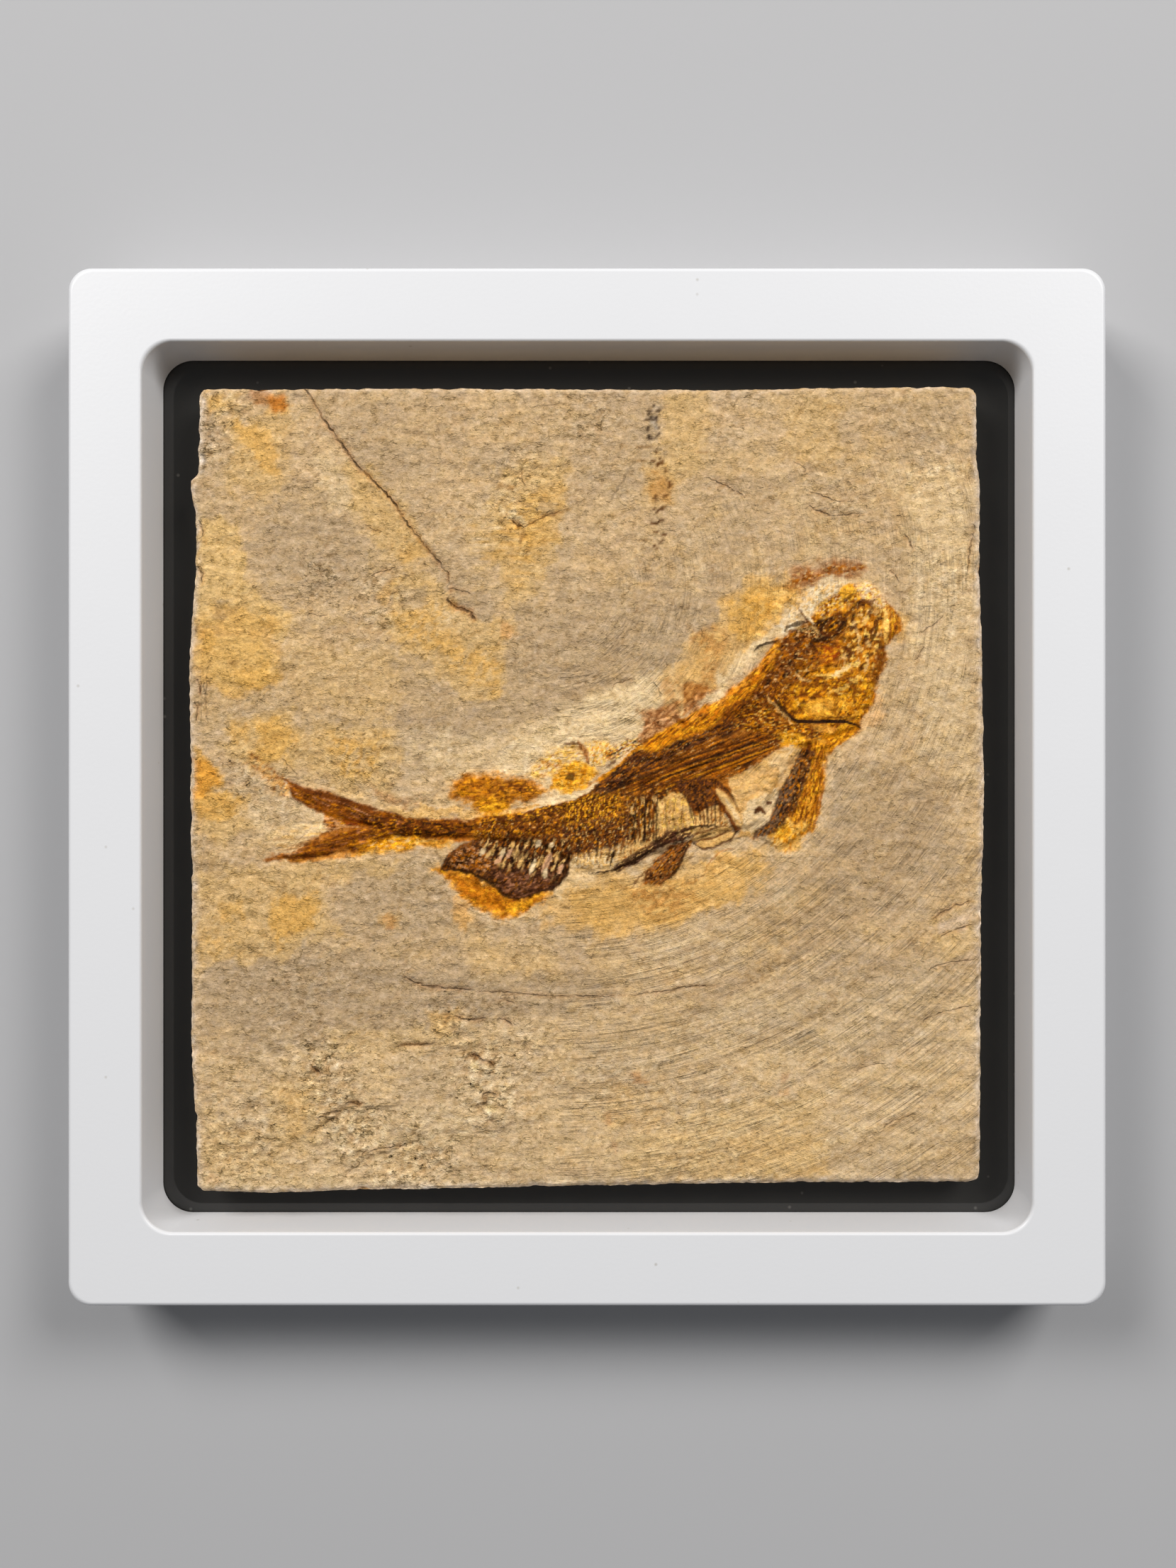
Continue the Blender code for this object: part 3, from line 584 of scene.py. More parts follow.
# the edges of broken flakes: (level of the flake noise, height of the step)
FLAKES = [(0.80, 0.10), (0.50, 0.13), (0.15, 0.09), (-0.20, 0.08), (-0.55, 0.11), (-0.85, 0.09)]


def tone(red, green, blue):
    """An sRGB colour, 0 to 255, as the linear colour that the shader takes."""
    share = np.array((red, green, blue)) / 255.0
    return np.where(share < 0.04045, share / 12.92, ((share + 0.055) / 1.055) ** 2.4)


SAND = tone(207, 175, 131)
DRAB = tone(184, 158, 123)
STRAW = tone(213, 176, 116)
OCHRE = tone(222, 170, 84)
RUST = tone(196, 112, 10)
PALE = tone(228, 200, 154)
CREAM = tone(236, 208, 160)
HONEY = tone(240, 166, 30)
AMBER = tone(216, 136, 12)
TAWNY = tone(172, 98, 4)
UMBER = tone(122, 62, 4)
BARK = tone(92, 44, 4)
PLUM = tone(80, 44, 24)
INK = tone(42, 20, 4)
ARRIS = tone(228, 206, 178)
MAROON = tone(152, 86, 14)
BUFF = tone(226, 180, 108)
GOLD = tone(248, 196, 92)


def smooth(value):
    held = np.clip(value, 0.0, 1.0)
    return held * held * (3.0 - 2.0 * held)


def cloud(x, y, seed):
    """Gradient noise over a plane, about -1 to 1, the same for the same seed."""
    turns = np.random.default_rng(seed).uniform(0.0, 2.0 * math.pi, (CLOUD_CELLS, CLOUD_CELLS))
    slope_x, slope_y = np.cos(turns), np.sin(turns)
    column, row = np.floor(x).astype(int), np.floor(y).astype(int)
    u, v = x - column, y - row
    ease_u, ease_v = u * u * u * (u * (6 * u - 15) + 10), v * v * v * (v * (6 * v - 15) + 10)
    corner = []
    for up in (0, 1):
        for over in (0, 1):
            place = ((row + up) % CLOUD_CELLS, (column + over) % CLOUD_CELLS)
            corner.append(slope_x[place] * (u - over) + slope_y[place] * (v - up))
    low = corner[0] + (corner[1] - corner[0]) * ease_u
    high = corner[2] + (corner[3] - corner[2]) * ease_u
    return (low + (high - low) * ease_v) * 1.6


def rough_cloud(x, y, seed, octaves=3):
    """Cloud noise with finer and weaker layers added."""
    total = np.zeros_like(x)
    for layer in range(octaves):
        total += cloud(x * 2.0 ** layer, y * 2.0 ** layer, seed + layer) * 0.55 ** layer
    return total


def depth_inside(x, y, loop):
    """How far each point lies inside a closed outline; negative outside."""
    gap = np.full(x.shape, 1e9)
    within = np.zeros(x.shape, bool)
    for (ax, ay), (bx, by) in zip(loop, loop[1:] + loop[:1]):
        dx, dy = bx - ax, by - ay
        along = np.clip(((x - ax) * dx + (y - ay) * dy) / (dx * dx + dy * dy), 0.0, 1.0)
        gap = np.minimum(gap, np.hypot(x - ax - along * dx, y - ay - along * dy))
        if dy:
            within ^= ((ay > y) != (by > y)) & (x < dx * (y - ay) / dy + ax)
    return np.where(within, gap, -gap)


def beside(x, y, line):
    """Distance to an open line, the share of its length passed, and the side (+1 left)."""
    gap = np.full(x.shape, 1e9)
    share, side = np.zeros(x.shape), np.ones(x.shape)
    steps = [math.dist(a, b) for a, b in zip(line, line[1:])]
    passed, total = 0.0, sum(steps)
    for (ax, ay), (bx, by), step in zip(line, line[1:], steps):
        dx, dy = bx - ax, by - ay
        along = np.clip(((x - ax) * dx + (y - ay) * dy) / (step * step), 0.0, 1.0)
        here = np.hypot(x - ax - along * dx, y - ay - along * dy)
        nearer = here < gap
        gap = np.where(nearer, here, gap)
        share = np.where(nearer, (passed + along * step) / total, share)
        side = np.where(nearer, np.sign(dx * (y - ay) - dy * (x - ax)), side)
        passed += step
    return gap, share, side


def near(face, points, margin):
    """Which points of a face lie in the box round some points."""
    xs, ys = [p[0] for p in points], [p[1] for p in points]
    inside = (face["x"] > min(xs) - margin) & (face["x"] < max(xs) + margin)
    return np.nonzero(inside & (face["y"] > min(ys) - margin) & (face["y"] < max(ys) + margin))[0]


def new_face(x, y):
    """A stone face as points: place, height above the mean, colour, and a ragged stray."""
    return {
        "x": x, "y": y, "height": np.zeros_like(x),
        "colour": np.tile(SAND, (len(x), 1)),
        "mottle": 0.5 * streaks(x, y, 1.5, 0.9, 8, 51) + 0.5 * streaks(x, y, 0.5, 0.4, 0, 55),
        "stray_x": 0.9 * rough_cloud(x / 3.4, y / 3.4, 11),
        "stray_y": 0.9 * rough_cloud(x / 3.4, y / 3.4, 21),
        "fine_x": 0.30 * rough_cloud(x / 0.9, y / 0.9, 31, 2),
        "fine_y": 0.30 * rough_cloud(x / 0.9, y / 0.9, 41, 2),
    }


def streaks(x, y, long, wide, angle, seed):
    """Noise from 0 to 1 drawn out along a direction, in degrees."""
    turn = math.radians(angle)
    along = x * math.cos(turn) + y * math.sin(turn)
    across = y * math.cos(turn) - x * math.sin(turn)
    return 0.5 + 0.5 * np.tanh(1.5 * rough_cloud(along / long, across / wide, seed, 2))


def lay(face, chosen, colour, cover):
    """Cover chosen points with a colour."""
    face["colour"][chosen] += (colour - face["colour"][chosen]) * cover[:, None]


def patch(face, colour, loop, soft=1.5, strength=1.0, ragged=1.0, streak=None):
    """Stain inside an outline. streak is (length, width, angle, share covered, seed)."""
    wide = ragged * (0.8 + 0.22 * soft)
    chosen = near(face, loop, soft + 2.0 * wide)
    x = face["x"][chosen] + (wide * face["stray_x"] + ragged * face["fine_x"])[chosen]
    y = face["y"][chosen] + (wide * face["stray_y"] + ragged * face["fine_y"])[chosen]
    cover = smooth(depth_inside(x, y, loop) / soft + 0.5)
    if streak:
        long, wide, angle, share, seed = streak
        mark = streaks(face["x"][chosen], face["y"][chosen], long, wide, angle, seed)
        cover = cover * smooth((mark - 1.0 + share) / 0.24 + 0.5) * strength
    else:
        cover = smooth(1.6 * cover - 0.6 * face["mottle"][chosen]) * strength
    lay(face, chosen, colour, cover)


def speckle(face, loop, seed, *layers, soft=1.4):
    """Flecks laid over one another: each layer is (colour, length, width, angle, share)."""
    for step, (colour, long, wide, angle, share) in enumerate(layers):
        patch(face, colour, loop, soft, 0.9, 0.4, (long, wide, angle, share, seed + 7 * step))


def skin(face, colour, loop, blur, strength, ragged, seed, *layers, soft=1.4):
    """A patch of film with flecks over it; blur is the softness of the patch's own edge."""
    patch(face, colour, loop, blur, strength, ragged)
    speckle(face, loop, seed, *layers, soft=soft)


def stroke(face, colour, line, width, strength, ragged, rise=0.0, ends=(0.25, 0.25)):
    """A line of stain or bone that thins towards its ends; rise is how proud it stands."""
    chosen = near(face, line, width + 1.0)
    if not len(chosen):
        return
    x = face["x"][chosen] + ragged * face["fine_x"][chosen] + 0.3 * ragged * face["stray_x"][chosen]
    y = face["y"][chosen] + ragged * face["fine_y"][chosen] + 0.3 * ragged * face["stray_y"][chosen]
    gap, share, _ = beside(x, y, line)
    taper = np.minimum(1.0, 0.35 + 0.65 * np.minimum(share / ends[0], (1.0 - share) / ends[1]))
    soft = max(0.16, 0.30 * width)
    cover = smooth((0.5 * width * taper - gap) / soft + 0.5) * strength
    lay(face, chosen, colour, cover)
    face["height"][chosen] += rise * cover


def share_of(line, share):
    """The point a share of the way along a line."""
    steps = [math.dist(a, b) for a, b in zip(line, line[1:])]
    left = share * sum(steps)
    for (ax, ay), (bx, by), step in zip(line, line[1:], steps):
        if left <= step:
            return ax + (bx - ax) * left / step, ay + (by - ay) * left / step
        left -= step
    return line[-1]


def comb(face, colours, tops, feet, count, width, strength, wobble, seed, rise=0.0):
    """A row of fine bones or rays from one line to another, a little uneven."""
    uneven = np.random.default_rng(seed)
    for k in range(count):
        place = np.clip((k + uneven.uniform(-0.25, 0.25)) / (count - 1), 0.0, 1.0)
        (ax, ay), (bx, by) = share_of(tops, place), share_of(feet, place)
        start = uneven.uniform(0.0, 0.12)
        stop = 1.0 - uneven.uniform(0.0, 0.14)
        points = []
        for share in (start, 0.35 * start + 0.65 * stop * 0.5, 0.6 * stop, stop):
            points.append((ax + (bx - ax) * share + uneven.normal(0.0, wobble * 0.5),
                           ay + (by - ay) * share + uneven.normal(0.0, wobble * 0.3)))
        stroke(face, colours[k % len(colours)], points, width * uneven.uniform(0.75, 1.25),
               strength * uneven.uniform(0.75, 1.0), 0.3, rise)


# soft washes over the whole face: (colour, share, level, contrast, length, width, seed)
WASHES = [
    (DRAB, 0.42, 0.5, 0.9, 16.0, 9.0, 61), (PALE, 0.22, 0.35, 1.1, 7.0, 3.5, 67),
    (STRAW, 0.35, 0.3, 1.1, 9.0, 6.0, 71), (DRAB, 0.35, 0.2, 1.2, 2.4, 1.5, 63),
]
# stains of the bare rock, in the order they are laid; each row is what patch takes
ROCK_STAINS = [
    # drab rock
    (DRAB, at(-470, 680, -230, 690, -210, 620, -280, 510, -260, 410, -330, 480, -410, 580), 6, 0.42),
    (DRAB, at(-570, 510, -430, 520, -410, 430, -380, 350, -480, 340, -560, 380), 6, 0.5),
    (DRAB, at(-10, 710, 120, 710, 110, 530, 0, 510, -30, 580), 8, 0.45),
    (DRAB, at(-203, 580, -136, 588, -136, 553, -166, 533, -206, 543), 2, 0.7),
    (DRAB, at(-120, 320, 40, 350, 230, 350, 210, 260, 130, 190, 10, 150, -130, 100, -280, 30, -370, 0,
     -330, 120, -230, 150, -150, 200), 7, 0.62),
    (DRAB, at(-360, 260, -230, 150, -160, 140, -260, 60, -330, 140, -360, 210), 8, 0.4),
    (DRAB, at(-410, -130, -260, -150, -220, -200, -230, -270, -380, -280, -440, -220), 8, 0.62),
    (DRAB, at(-680, -300, -510, -280, -330, -300, -160, -330, 90, -350, -10, -400, -280, -420, -430, -460,
     -560, -470, -650, -420), 9, 0.85),
    (DRAB, at(-670, -330, -530, -310, -410, -350, -480, -420, -600, -430), 9, 0.45),
    (DRAB, at(-330, -460, -170, -470, -210, -570, -280, -610, -330, -530), 7, 0.45),
    (DRAB, at(-280, -610, -160, -580, -110, -630, -210, -670, -280, -660), 6, 0.5),
    (DRAB, at(510, 670, 640, 680, 630, 570, 540, 570), 6, 0.4),
    (DRAB, at(440, 40, 520, 40, 620, -10, 660, -140, 570, -240, 440, -220, 400, -150, 420, -60), 9, 0.55),
    (DRAB, at(160, -360, 290, -320, 460, -260, 610, -270, 630, -460, 440, -480, 290, -460), 9, 0.45),
    (DRAB, at(420, -610, 680, -590, 680, -690, 420, -690), 5, 0.35),
    (DRAB, at(-10, -410, 210, -420, 160, -510, 40, -530, -30, -480), 8, 0.4),
    # soft straw and ochre stains
    (STRAW, at(-630, 650, -530, 650, -520, 520, -620, 510), 7, 0.7),
    (OCHRE, at(-620, 630, -580, 640, -570, 570, -600, 580), 4, 0.35, 1, (1.4, 0.8, 50, 0.6, 301)),
    (STRAW, at(-670, 690, -610, 690, -610, 650, -670, 650), 3.5, 0.65),
    (OCHRE, at(-669, 682, -640, 687, -627, 667, -659, 657), 2, 0.45),
    (OCHRE, at(-565, 687, -531, 687, -523, 657, -545, 647, -565, 657), 2, 0.55),
    (OCHRE, at(-617, 645, -590, 645, -540, 583, -531, 543, -565, 548, -605, 608), 2.4, 0.6, 1.2),
    (RUST, at(-563, 682, -533, 685, -526, 662, -548, 655), 1.8, 0.8, 0.6),
    (TAWNY, at(-592, 692, -555, 694, -558, 672, -585, 670), 1.6, 0.6, 0.8),
    (DRAB, at(-682, 675, -654, 663, -640, 627, -659, 583, -677, 564, -682, 632), 2, 0.7),
    (STRAW, at(-440, 560, -380, 560, -300, 460, -270, 400, -310, 380, -360, 420, -410, 480), 4, 0.8),
    (OCHRE, at(-340, 430, -280, 430, -280, 390, -320, 380), 4, 0.35),
    (PALE, at(-480, 580, -430, 580, -410, 480, -440, 470), 5, 0.5),
    (DRAB, at(-590, 460, -410, 470, -380, 380, -480, 320, -530, 330, -590, 380), 3, 0.55),
    (tone(222, 184, 118), at(-692, 471, -615, 469, -597, 409, -590, 350, -528, 308, -526, 261, -692, 285),
     2.6, 0.75),
    (DRAB, at(-654, 325, -627, 328, -632, 308, -649, 300), 1.4, 0.7),
    (OCHRE, at(-690, 290, -620, 320, -540, 290, -530, 210, -560, 170, -620, 160, -690, 190), 5, 0.55),
    (tone(226, 182, 104), at(-680, 260, -580, 270, -540, 220, -550, 180, -620, 170, -680, 210), 3, 0.55),
    (OCHRE, at(-684, 273, -649, 275, -649, 246, -684, 243), 2, 0.55),
    (OCHRE, at(-612, 204, -555, 206, -548, 174, -605, 169), 2, 0.5),
    (tone(160, 122, 74), at(-659, 303, -617, 313, -602, 320, -600, 313, -632, 300, -654, 293), 0.8, 0.5),
    (tone(160, 122, 74), at(-632, 216, -590, 223, -590, 216, -630, 209), 0.8, 0.5),
    (STRAW, at(-530, 260, -330, 240, -330, 140, -440, 120, -530, 160), 8, 0.45),
    (STRAW, at(-337, 370, -283, 377, -240, 337, -198, 300, -156, 293, -121, 303, -124, 280, -151, 246,
     -151, 169, -181, 154, -233, 166, -283, 221, -340, 253, -351, 313), 2.4, 0.75),
    (OCHRE, at(-337, 308, -268, 328, -245, 315, -231, 280, -250, 228, -295, 241, -332, 266), 2.6, 0.55, 1,
     (1.4, 1, 50, 0.62, 305)),
    (OCHRE, at(-260, 261, -159, 241, -154, 171, -178, 166, -233, 199), 2.6, 0.6, 1,
     (1.8, 1, -20, 0.6, 343)),
    (tone(214, 156, 92), at(-154, 290, -124, 288, -131, 256, -164, 251), 1.8, 0.55),
    (OCHRE, at(-369, 323, -357, 352, -330, 361, -322, 352, -347, 340, -358, 318), 1.6, 0.45),
    (DRAB, at(-322, 350, -288, 352, -280, 323, -307, 308, -327, 320), 2.4, 0.6),
    (DRAB, at(-238, 341, -203, 344, -171, 328, -156, 300, -171, 283, -192, 288, -208, 308, -231, 316), 1.4,
     0.8),
    (PALE, at(-285, 308, -233, 308, -218, 283, -268, 278), 2, 0.6, 1, (1.6, 0.5, 10, 0.6, 333)),
    (STRAW, at(-160, 560, -30, 570, -40, 510, -60, 400, -100, 320, -140, 310, -160, 380, -170, 480), 5,
     0.75),
    (OCHRE, at(-140, 510, -50, 520, -70, 420, -120, 330, -140, 380), 3.5, 0.42, 1, (5, 0.5, 2, 0.55, 307)),
    (OCHRE, at(-139, 504, -84, 511, -35, 491, -47, 434, -94, 419, -139, 444), 2, 0.36),
    (BUFF, at(-89, 528, -42, 528, -42, 501, -84, 499), 2, 0.5),
    (DRAB, at(-89, 499, -57, 499, -55, 479, -84, 471), 1.4, 0.55),
    (STRAW, at(-210, 480, -140, 480, -140, 380, -190, 380, -220, 430), 3, 0.6, 1, (8, 0.5, 0, 0.55, 335)),
    (OCHRE, at(-208, 464, -94, 459, -97, 392, -188, 387), 2, 0.5, 1, (7, 0.4, 0, 0.45, 337)),
    (PALE, at(-203, 494, -144, 486, -149, 404, -198, 397), 2.5, 0.5, 1, (6, 0.35, 0, 0.35, 339)),
    (PALE, at(-171, 528, -103, 523, -109, 489, -159, 489), 2.4, 0.45, 1, (1.5, 1, 0, 0.55, 309)),
    (tone(224, 202, 160), at(-144, 485, -129, 486, -109, 466, -109, 458, -124, 463, -138, 471), 1, 0.5,
     0.5),
    (STRAW, at(-149, 558, -119, 558, -117, 531, -151, 526), 1.8, 0.65, 1, (1.8, 0.8, -30, 0.6, 341)),
    (STRAW, at(130, 690, 210, 690, 210, 560, 150, 530, 130, 580), 6, 0.65),
    (STRAW, at(340, 680, 440, 680, 440, 560, 360, 560), 7, 0.6),
    (STRAW, at(540, 560, 670, 560, 670, 350, 560, 430), 9, 0.35),
    (PALE, at(540, 560, 670, 560, 680, 10, 570, 60, 560, 430), 10, 0.55),
    (MAROON, at(430, 460, 500, 460, 500, 440, 440, 440), 3, 0.22, 1, (2, 0.7, 0, 0.6, 311)),
    (OCHRE, at(-690, 70, -650, 50, -640, -10, -590, -20, -600, -40, -650, -60, -690, -50), 3.4, 0.85),
    (tone(230, 160, 58), at(-694, 50, -654, 40, -649, -7, -667, -29, -694, -24), 2.6, 0.8),
    (STRAW, at(-680, -50, -610, -40, -600, -80, -650, -100, -690, -90), 4, 0.55),
    (STRAW, at(-630, 120, -510, 140, -480, 40, -590, 30, -630, 60), 5, 0.8),
    (OCHRE, at(-590, 120, -520, 110, -520, 50, -570, 40), 3.5, 0.75),
    (OCHRE, at(-627, 114, -597, 109, -600, 75, -625, 80), 2.5, 0.5),
    (STRAW, at(-480, 110, -330, 110, -340, 0, -440, -10, -490, 40), 5, 0.75),
    (OCHRE, at(-460, 90, -350, 90, -360, 40, -410, 0, -440, 40), 3, 0.65, 1, (1.6, 1.4, 0, 0.55, 313)),
    (STRAW, at(-690, -60, -620, -50, -570, -80, -650, -100), 4, 0.55),
    (STRAW, at(-680, -150, -480, -130, -330, -130, -330, -150, -460, -160, -440, -250, -530, -300,
     -680, -310), 5, 0.7),
    (OCHRE, at(-540, -190, -470, -190, -480, -250, -520, -260, -540, -280, -560, -250), 3, 0.75),
    (OCHRE, at(-642, -200, -599, -200, -599, -235, -640, -235), 2.5, 0.5),
    (OCHRE, at(-680, -260, -620, -250, -620, -300, -680, -300), 3.5, 0.35, 1, (1.6, 1.2, 0, 0.55, 315)),
    (RUST, at(-351, -220, -337, -218, -335, -243, -345, -260, -353, -243), 1, 0.4),
    (OCHRE, at(-362, -215, -325, -215, -330, -250, -359, -250), 2.5, 0.35),
    (STRAW, at(-230, -270, -60, -270, -50, -320, -210, -320), 5, 0.4),
    (OCHRE, at(-280, -400, -230, -390, -230, -420, -270, -430), 3, 0.5),
    (STRAW, at(-470, -430, -220, -410, -210, -450, -330, -460, -430, -480), 4, 0.5),
    (STRAW, at(-560, -520, -470, -510, -470, -630, -550, -640), 4, 0.6),
    (OCHRE, at(-540, -540, -480, -530, -490, -610, -530, -620), 3.5, 0.4),
    (STRAW, at(-670, -560, -530, -660, -430, -690, -670, -690), 6, 0.55),
    (RUST, at(-669, -684, -647, -681, -645, -696, -667, -696), 1.2, 0.5),
    (STRAW, at(210, -560, 410, -530, 410, -690, 230, -690, 40, -680, 90, -610), 6, 0.65),
    (OCHRE, at(260, -610, 400, -610, 410, -680, 260, -680), 5, 0.28),
    (OCHRE, at(40, -520, 140, -570, 90, -610, 30, -580), 5, 0.28),
    (TAWNY, at(77, -500, 99, -500, 99, -518, 79, -515), 1.4, 0.6),
    (TAWNY, at(27, -574, 45, -574, 42, -586, 30, -586), 1.2, 0.4),
    (TAWNY, at(37, -619, 55, -619, 52, -632, 40, -632), 1.2, 0.4),
    (RUST, at(335, -500, 352, -500, 352, -515, 337, -515), 1.4, 0.3),
    (RUST, at(337, -525, 354, -524, 354, -534, 340, -535), 1.4, 0.3),
    # bleached rock and worn high spots, with painted highlight along the bottom edge and painted light over
    # the lower face
    (PALE, at(-510, -20, -460, -60, -470, -80, -560, -90, -620, -50, -600, 0), 4, 0.35),
    (PALE, at(-330, 90, -230, 100, -230, 30, -310, 20), 4, 0.45, 1, (2.5, 1.2, 10, 0.6, 321)),
    (PALE, at(-450, -580, -260, -560, -160, -560, -230, -630, -380, -670, -470, -640), 4, 0.6, 1,
     (2.2, 0.9, 15, 0.55, 323)),
    (PALE, at(-230, -510, -160, -470, -110, -520, -130, -590, -210, -560), 4, 0.55, 1,
     (1.6, 1, 0, 0.55, 325)),
    (PALE, at(90, -270, 280, -240, 310, -270, 160, -330, 60, -350), 5, 0.5, 1, (7, 0.6, 28, 0.6, 327)),
    (PALE, at(213, -396, 325, -324, 418, -272, 424, -291, 325, -349, 238, -406), 1.4, 0.55, 1,
     (9, 0.5, 27, 0.5, 329)),
    (PALE, at(330, -180, 360, -170, 380, -200, 370, -220, 340, -220, 320, -200), 3, 0.55, 1,
     (1.4, 0.7, 40, 0.6, 331)),
    # worn arris along the bottom edge, paler, with painted highlight
    (PALE, at(-679, -675, -332, -686, 15, -686, 15, -706, -679, -706), 2, 0.55),
    # painted light: the lower face made paler to make up for the lamps, which light it less than the top
    (PALE, at(-330, -420, 90, -380, 680, -330, 680, -720, -680, -720, -680, -470), 12, 0.26),
    (tone(208, 186, 158), at(-689, 677, -669, 672, -663, 632, -671, 583, -676, 548, -692, 548), 1.4, 0.6),
    (tone(212, 184, 152), at(612, -235, 679, -210, 679, -235, 607, -262), 1.6, 0.55),
    (STRAW, at(607, -267, 679, -240, 679, -290, 612, -297), 2.6, 0.5),
]


def stain_rock(face):
    """The rock's colours: drab bands, iron stains and bleached patches, with painted shade and highlight on
    the broken patch at the foot and painted light over the lower face.
    """
    for colour, share, level, contrast, long, wide, seed in WASHES:
        wash = share * smooth(level + contrast * rough_cloud(face["x"] / long, face["y"] / wide, seed))
        face["colour"] += (colour - face["colour"]) * wash[:, None]
    for rock_stain in ROCK_STAINS:
        patch(face, *rock_stain)
    for line in (at(-82, 470, -59, 478, -42, 482), at(-159, 530, -144, 523, -126, 522), at(-114, 449,
            -117, 427)):
        stroke(face, tone(156, 112, 62), line, 0.8, 0.6, 0.6)
    # painted shadow in the hollows and painted highlight on the crests of the crumbs in the broken patch at
    # the foot
    stroke(face, tone(112, 82, 46), at(-185, -546, -174, -551), 1.7, 0.8, 0.8, -0.6)
    stroke(face, tone(244, 218, 160), at(-176, -560, -159, -564), 1.5, 0.7, 0.8, 0.4)
    stroke(face, tone(244, 218, 160), at(-203, -483, -193, -493), 1.6, 0.6, 0.8, 0.4)
    for line in (at(-203, -469, -193, -476), at(-171, -481, -162, -488), at(-481, -488, -473, -498),
            at(-412, -551, -397, -554)):
        stroke(face, tone(128, 96, 58), line, 1.1, 0.7, 0.8, -0.3)


def draw_halo(face):
    """Mineral stain that soaked into the rock round the fish."""
    # ochre apron under the belly
    patch(face, BUFF, at(-30, -120, 60, -150, 190, -130, 280, -110, 310, -130, 310, -170, 230, -210,
        140, -250, 30, -260, -70, -250, -70, -190), 4, 0.66)
    patch(face, OCHRE, at(-20, -170, 90, -170, 180, -160, 280, -170, 290, -190, 200, -220, 130, -240,
        10, -250, -30, -220), 4, 0.52)
    patch(face, TAWNY, at(60, -180, 160, -170, 190, -190, 160, -220, 90, -220), 3, 0.45,
        streak=(2, 1, 10, 0.55, 401))
    patch(face, OCHRE, at(190, -130, 290, -110, 310, -140, 260, -170, 200, -160), 3.5, 0.3)
    patch(face, PALE, at(-35, -105, 27, -130, 15, -167, -59, -188, -78, -155), 2.5, 0.6)
    patch(face, OCHRE, at(230, -120, 310, -100, 320, -130, 280, -160, 210, -150), 3, 0.25)
    # pale and honey halo above the back
    patch(face, CREAM, at(-160, 60, -80, 100, 0, 160, 90, 190, 150, 200, 230, 220, 280, 240, 210, 160,
        140, 90, 100, 60, 10, 50, -50, 10, -70, -30, -160, -40, -170, 10), 4, 0.7)
    patch(face, PALE, at(-280, 90, -160, 90, -80, 120, -10, 160, -30, 100, -160, 40, -230, 10, -280, 30), 5,
        0.45)
    patch(face, CREAM, at(-10, 150, 120, 180, 130, 90, 60, 70, -10, 60), 3.5, 0.55,
        streak=(2, 0.8, 25, 0.65, 403))
    patch(face, BUFF, at(230, 320, 290, 370, 350, 370, 380, 350, 350, 310, 320, 270, 280, 230, 210, 170,
        160, 140, 160, 190, 200, 260), 4, 0.75)
    patch(face, OCHRE, at(250, 320, 290, 350, 350, 360, 370, 340, 340, 310, 320, 280, 280, 250, 250, 270),
        3, 0.72)
    patch(face, HONEY, at(270, 310, 310, 340, 340, 330, 310, 290, 280, 270), 3, 0.35,
        streak=(1.2, 1, 0, 0.6, 405))
    patch(face, BUFF, at(130, 200, 190, 270, 240, 290, 240, 220, 210, 160, 160, 120, 130, 140), 4, 0.6)
    for loop, seed in ((at(183, 271, 213, 279, 243, 269, 240, 228, 213, 221, 193, 236), 407), (at(198, 214,
            238, 230, 228, 186, 195, 164), 409), (at(126, 186, 164, 196, 166, 155, 133, 149), 413)):
        patch(face, TAWNY, loop, 3, 0.45, streak=(1.4, 0.8, 30, 0.62, seed))
    for loop, seed in ((at(166, 176, 201, 186, 218, 168, 195, 134, 166, 129), 411), (at(93, 124, 120, 147,
            157, 143, 161, 112, 133, 81, 93, 65), 415)):
        patch(face, RUST, loop, 2.2, 0.6)
        patch(face, UMBER, loop, 2.2, 0.75, streak=(1.2, 0.6, 40, 0.5, seed))
    patch(face, CREAM, at(332, 271, 302, 238, 250, 184, 213, 137, 195, 122, 201, 149, 244, 205, 288, 251),
        1.4, 0.7)
    # red band over the head, with the pale crest of the skull under it
    patch(face, tone(150, 88, 30), at(342, 352, 367, 380, 412, 391, 449, 394, 478, 394, 488, 380, 459, 367,
        421, 362, 393, 350, 367, 337), 2.6, 0.86, 0.7, streak=(1.6, 0.9, 20, 0.86, 417))
    patch(face, tone(234, 184, 122), at(476, 99, 491, 137, 511, 161, 526, 152, 508, 122, 493, 97), 2.4, 0.6)
    patch(face, OCHRE, at(543, 308, 560, 295, 563, 273, 545, 253), 1.6, 0.5)
    patch(face, tone(228, 214, 184), at(372, 310, 389, 352, 426, 360, 436, 342, 407, 315, 387, 295), 2, 0.5)
    speckle(face, at(345, 355, 372, 377, 412, 386, 486, 390, 481, 375, 421, 367, 382, 350), 427,
        (TAWNY, 1.4, 0.8, 12, 0.3), (UMBER, 1, 0.7, 14, 0.22), (BUFF, 0.8, 0.5, 10, 0.14))
    patch(face, CREAM, at(290, 241, 327, 275, 347, 308, 384, 345, 416, 361, 444, 366, 467, 357, 461, 345,
        418, 328, 393, 300, 372, 283, 343, 266), 2.6, 0.62, 0.8)
    speckle(face, at(327, 273, 352, 310, 387, 345, 431, 360, 449, 345, 399, 308, 367, 278, 342, 266), 429,
        (tone(176, 146, 104), 1.1, 0.8, 30, 0.26), (tone(238, 222, 190), 1.2, 0.9, 40, 0.3))
    speckle(face, at(337, 298, 362, 332, 399, 355, 436, 357, 436, 340, 399, 313, 367, 285), 423,
        (BUFF, 1.2, 0.6, 40, 0.4), (tone(150, 120, 80), 0.6, 0.35, 30, 0.14), (PALE, 1, 0.6, 40, 0.3))
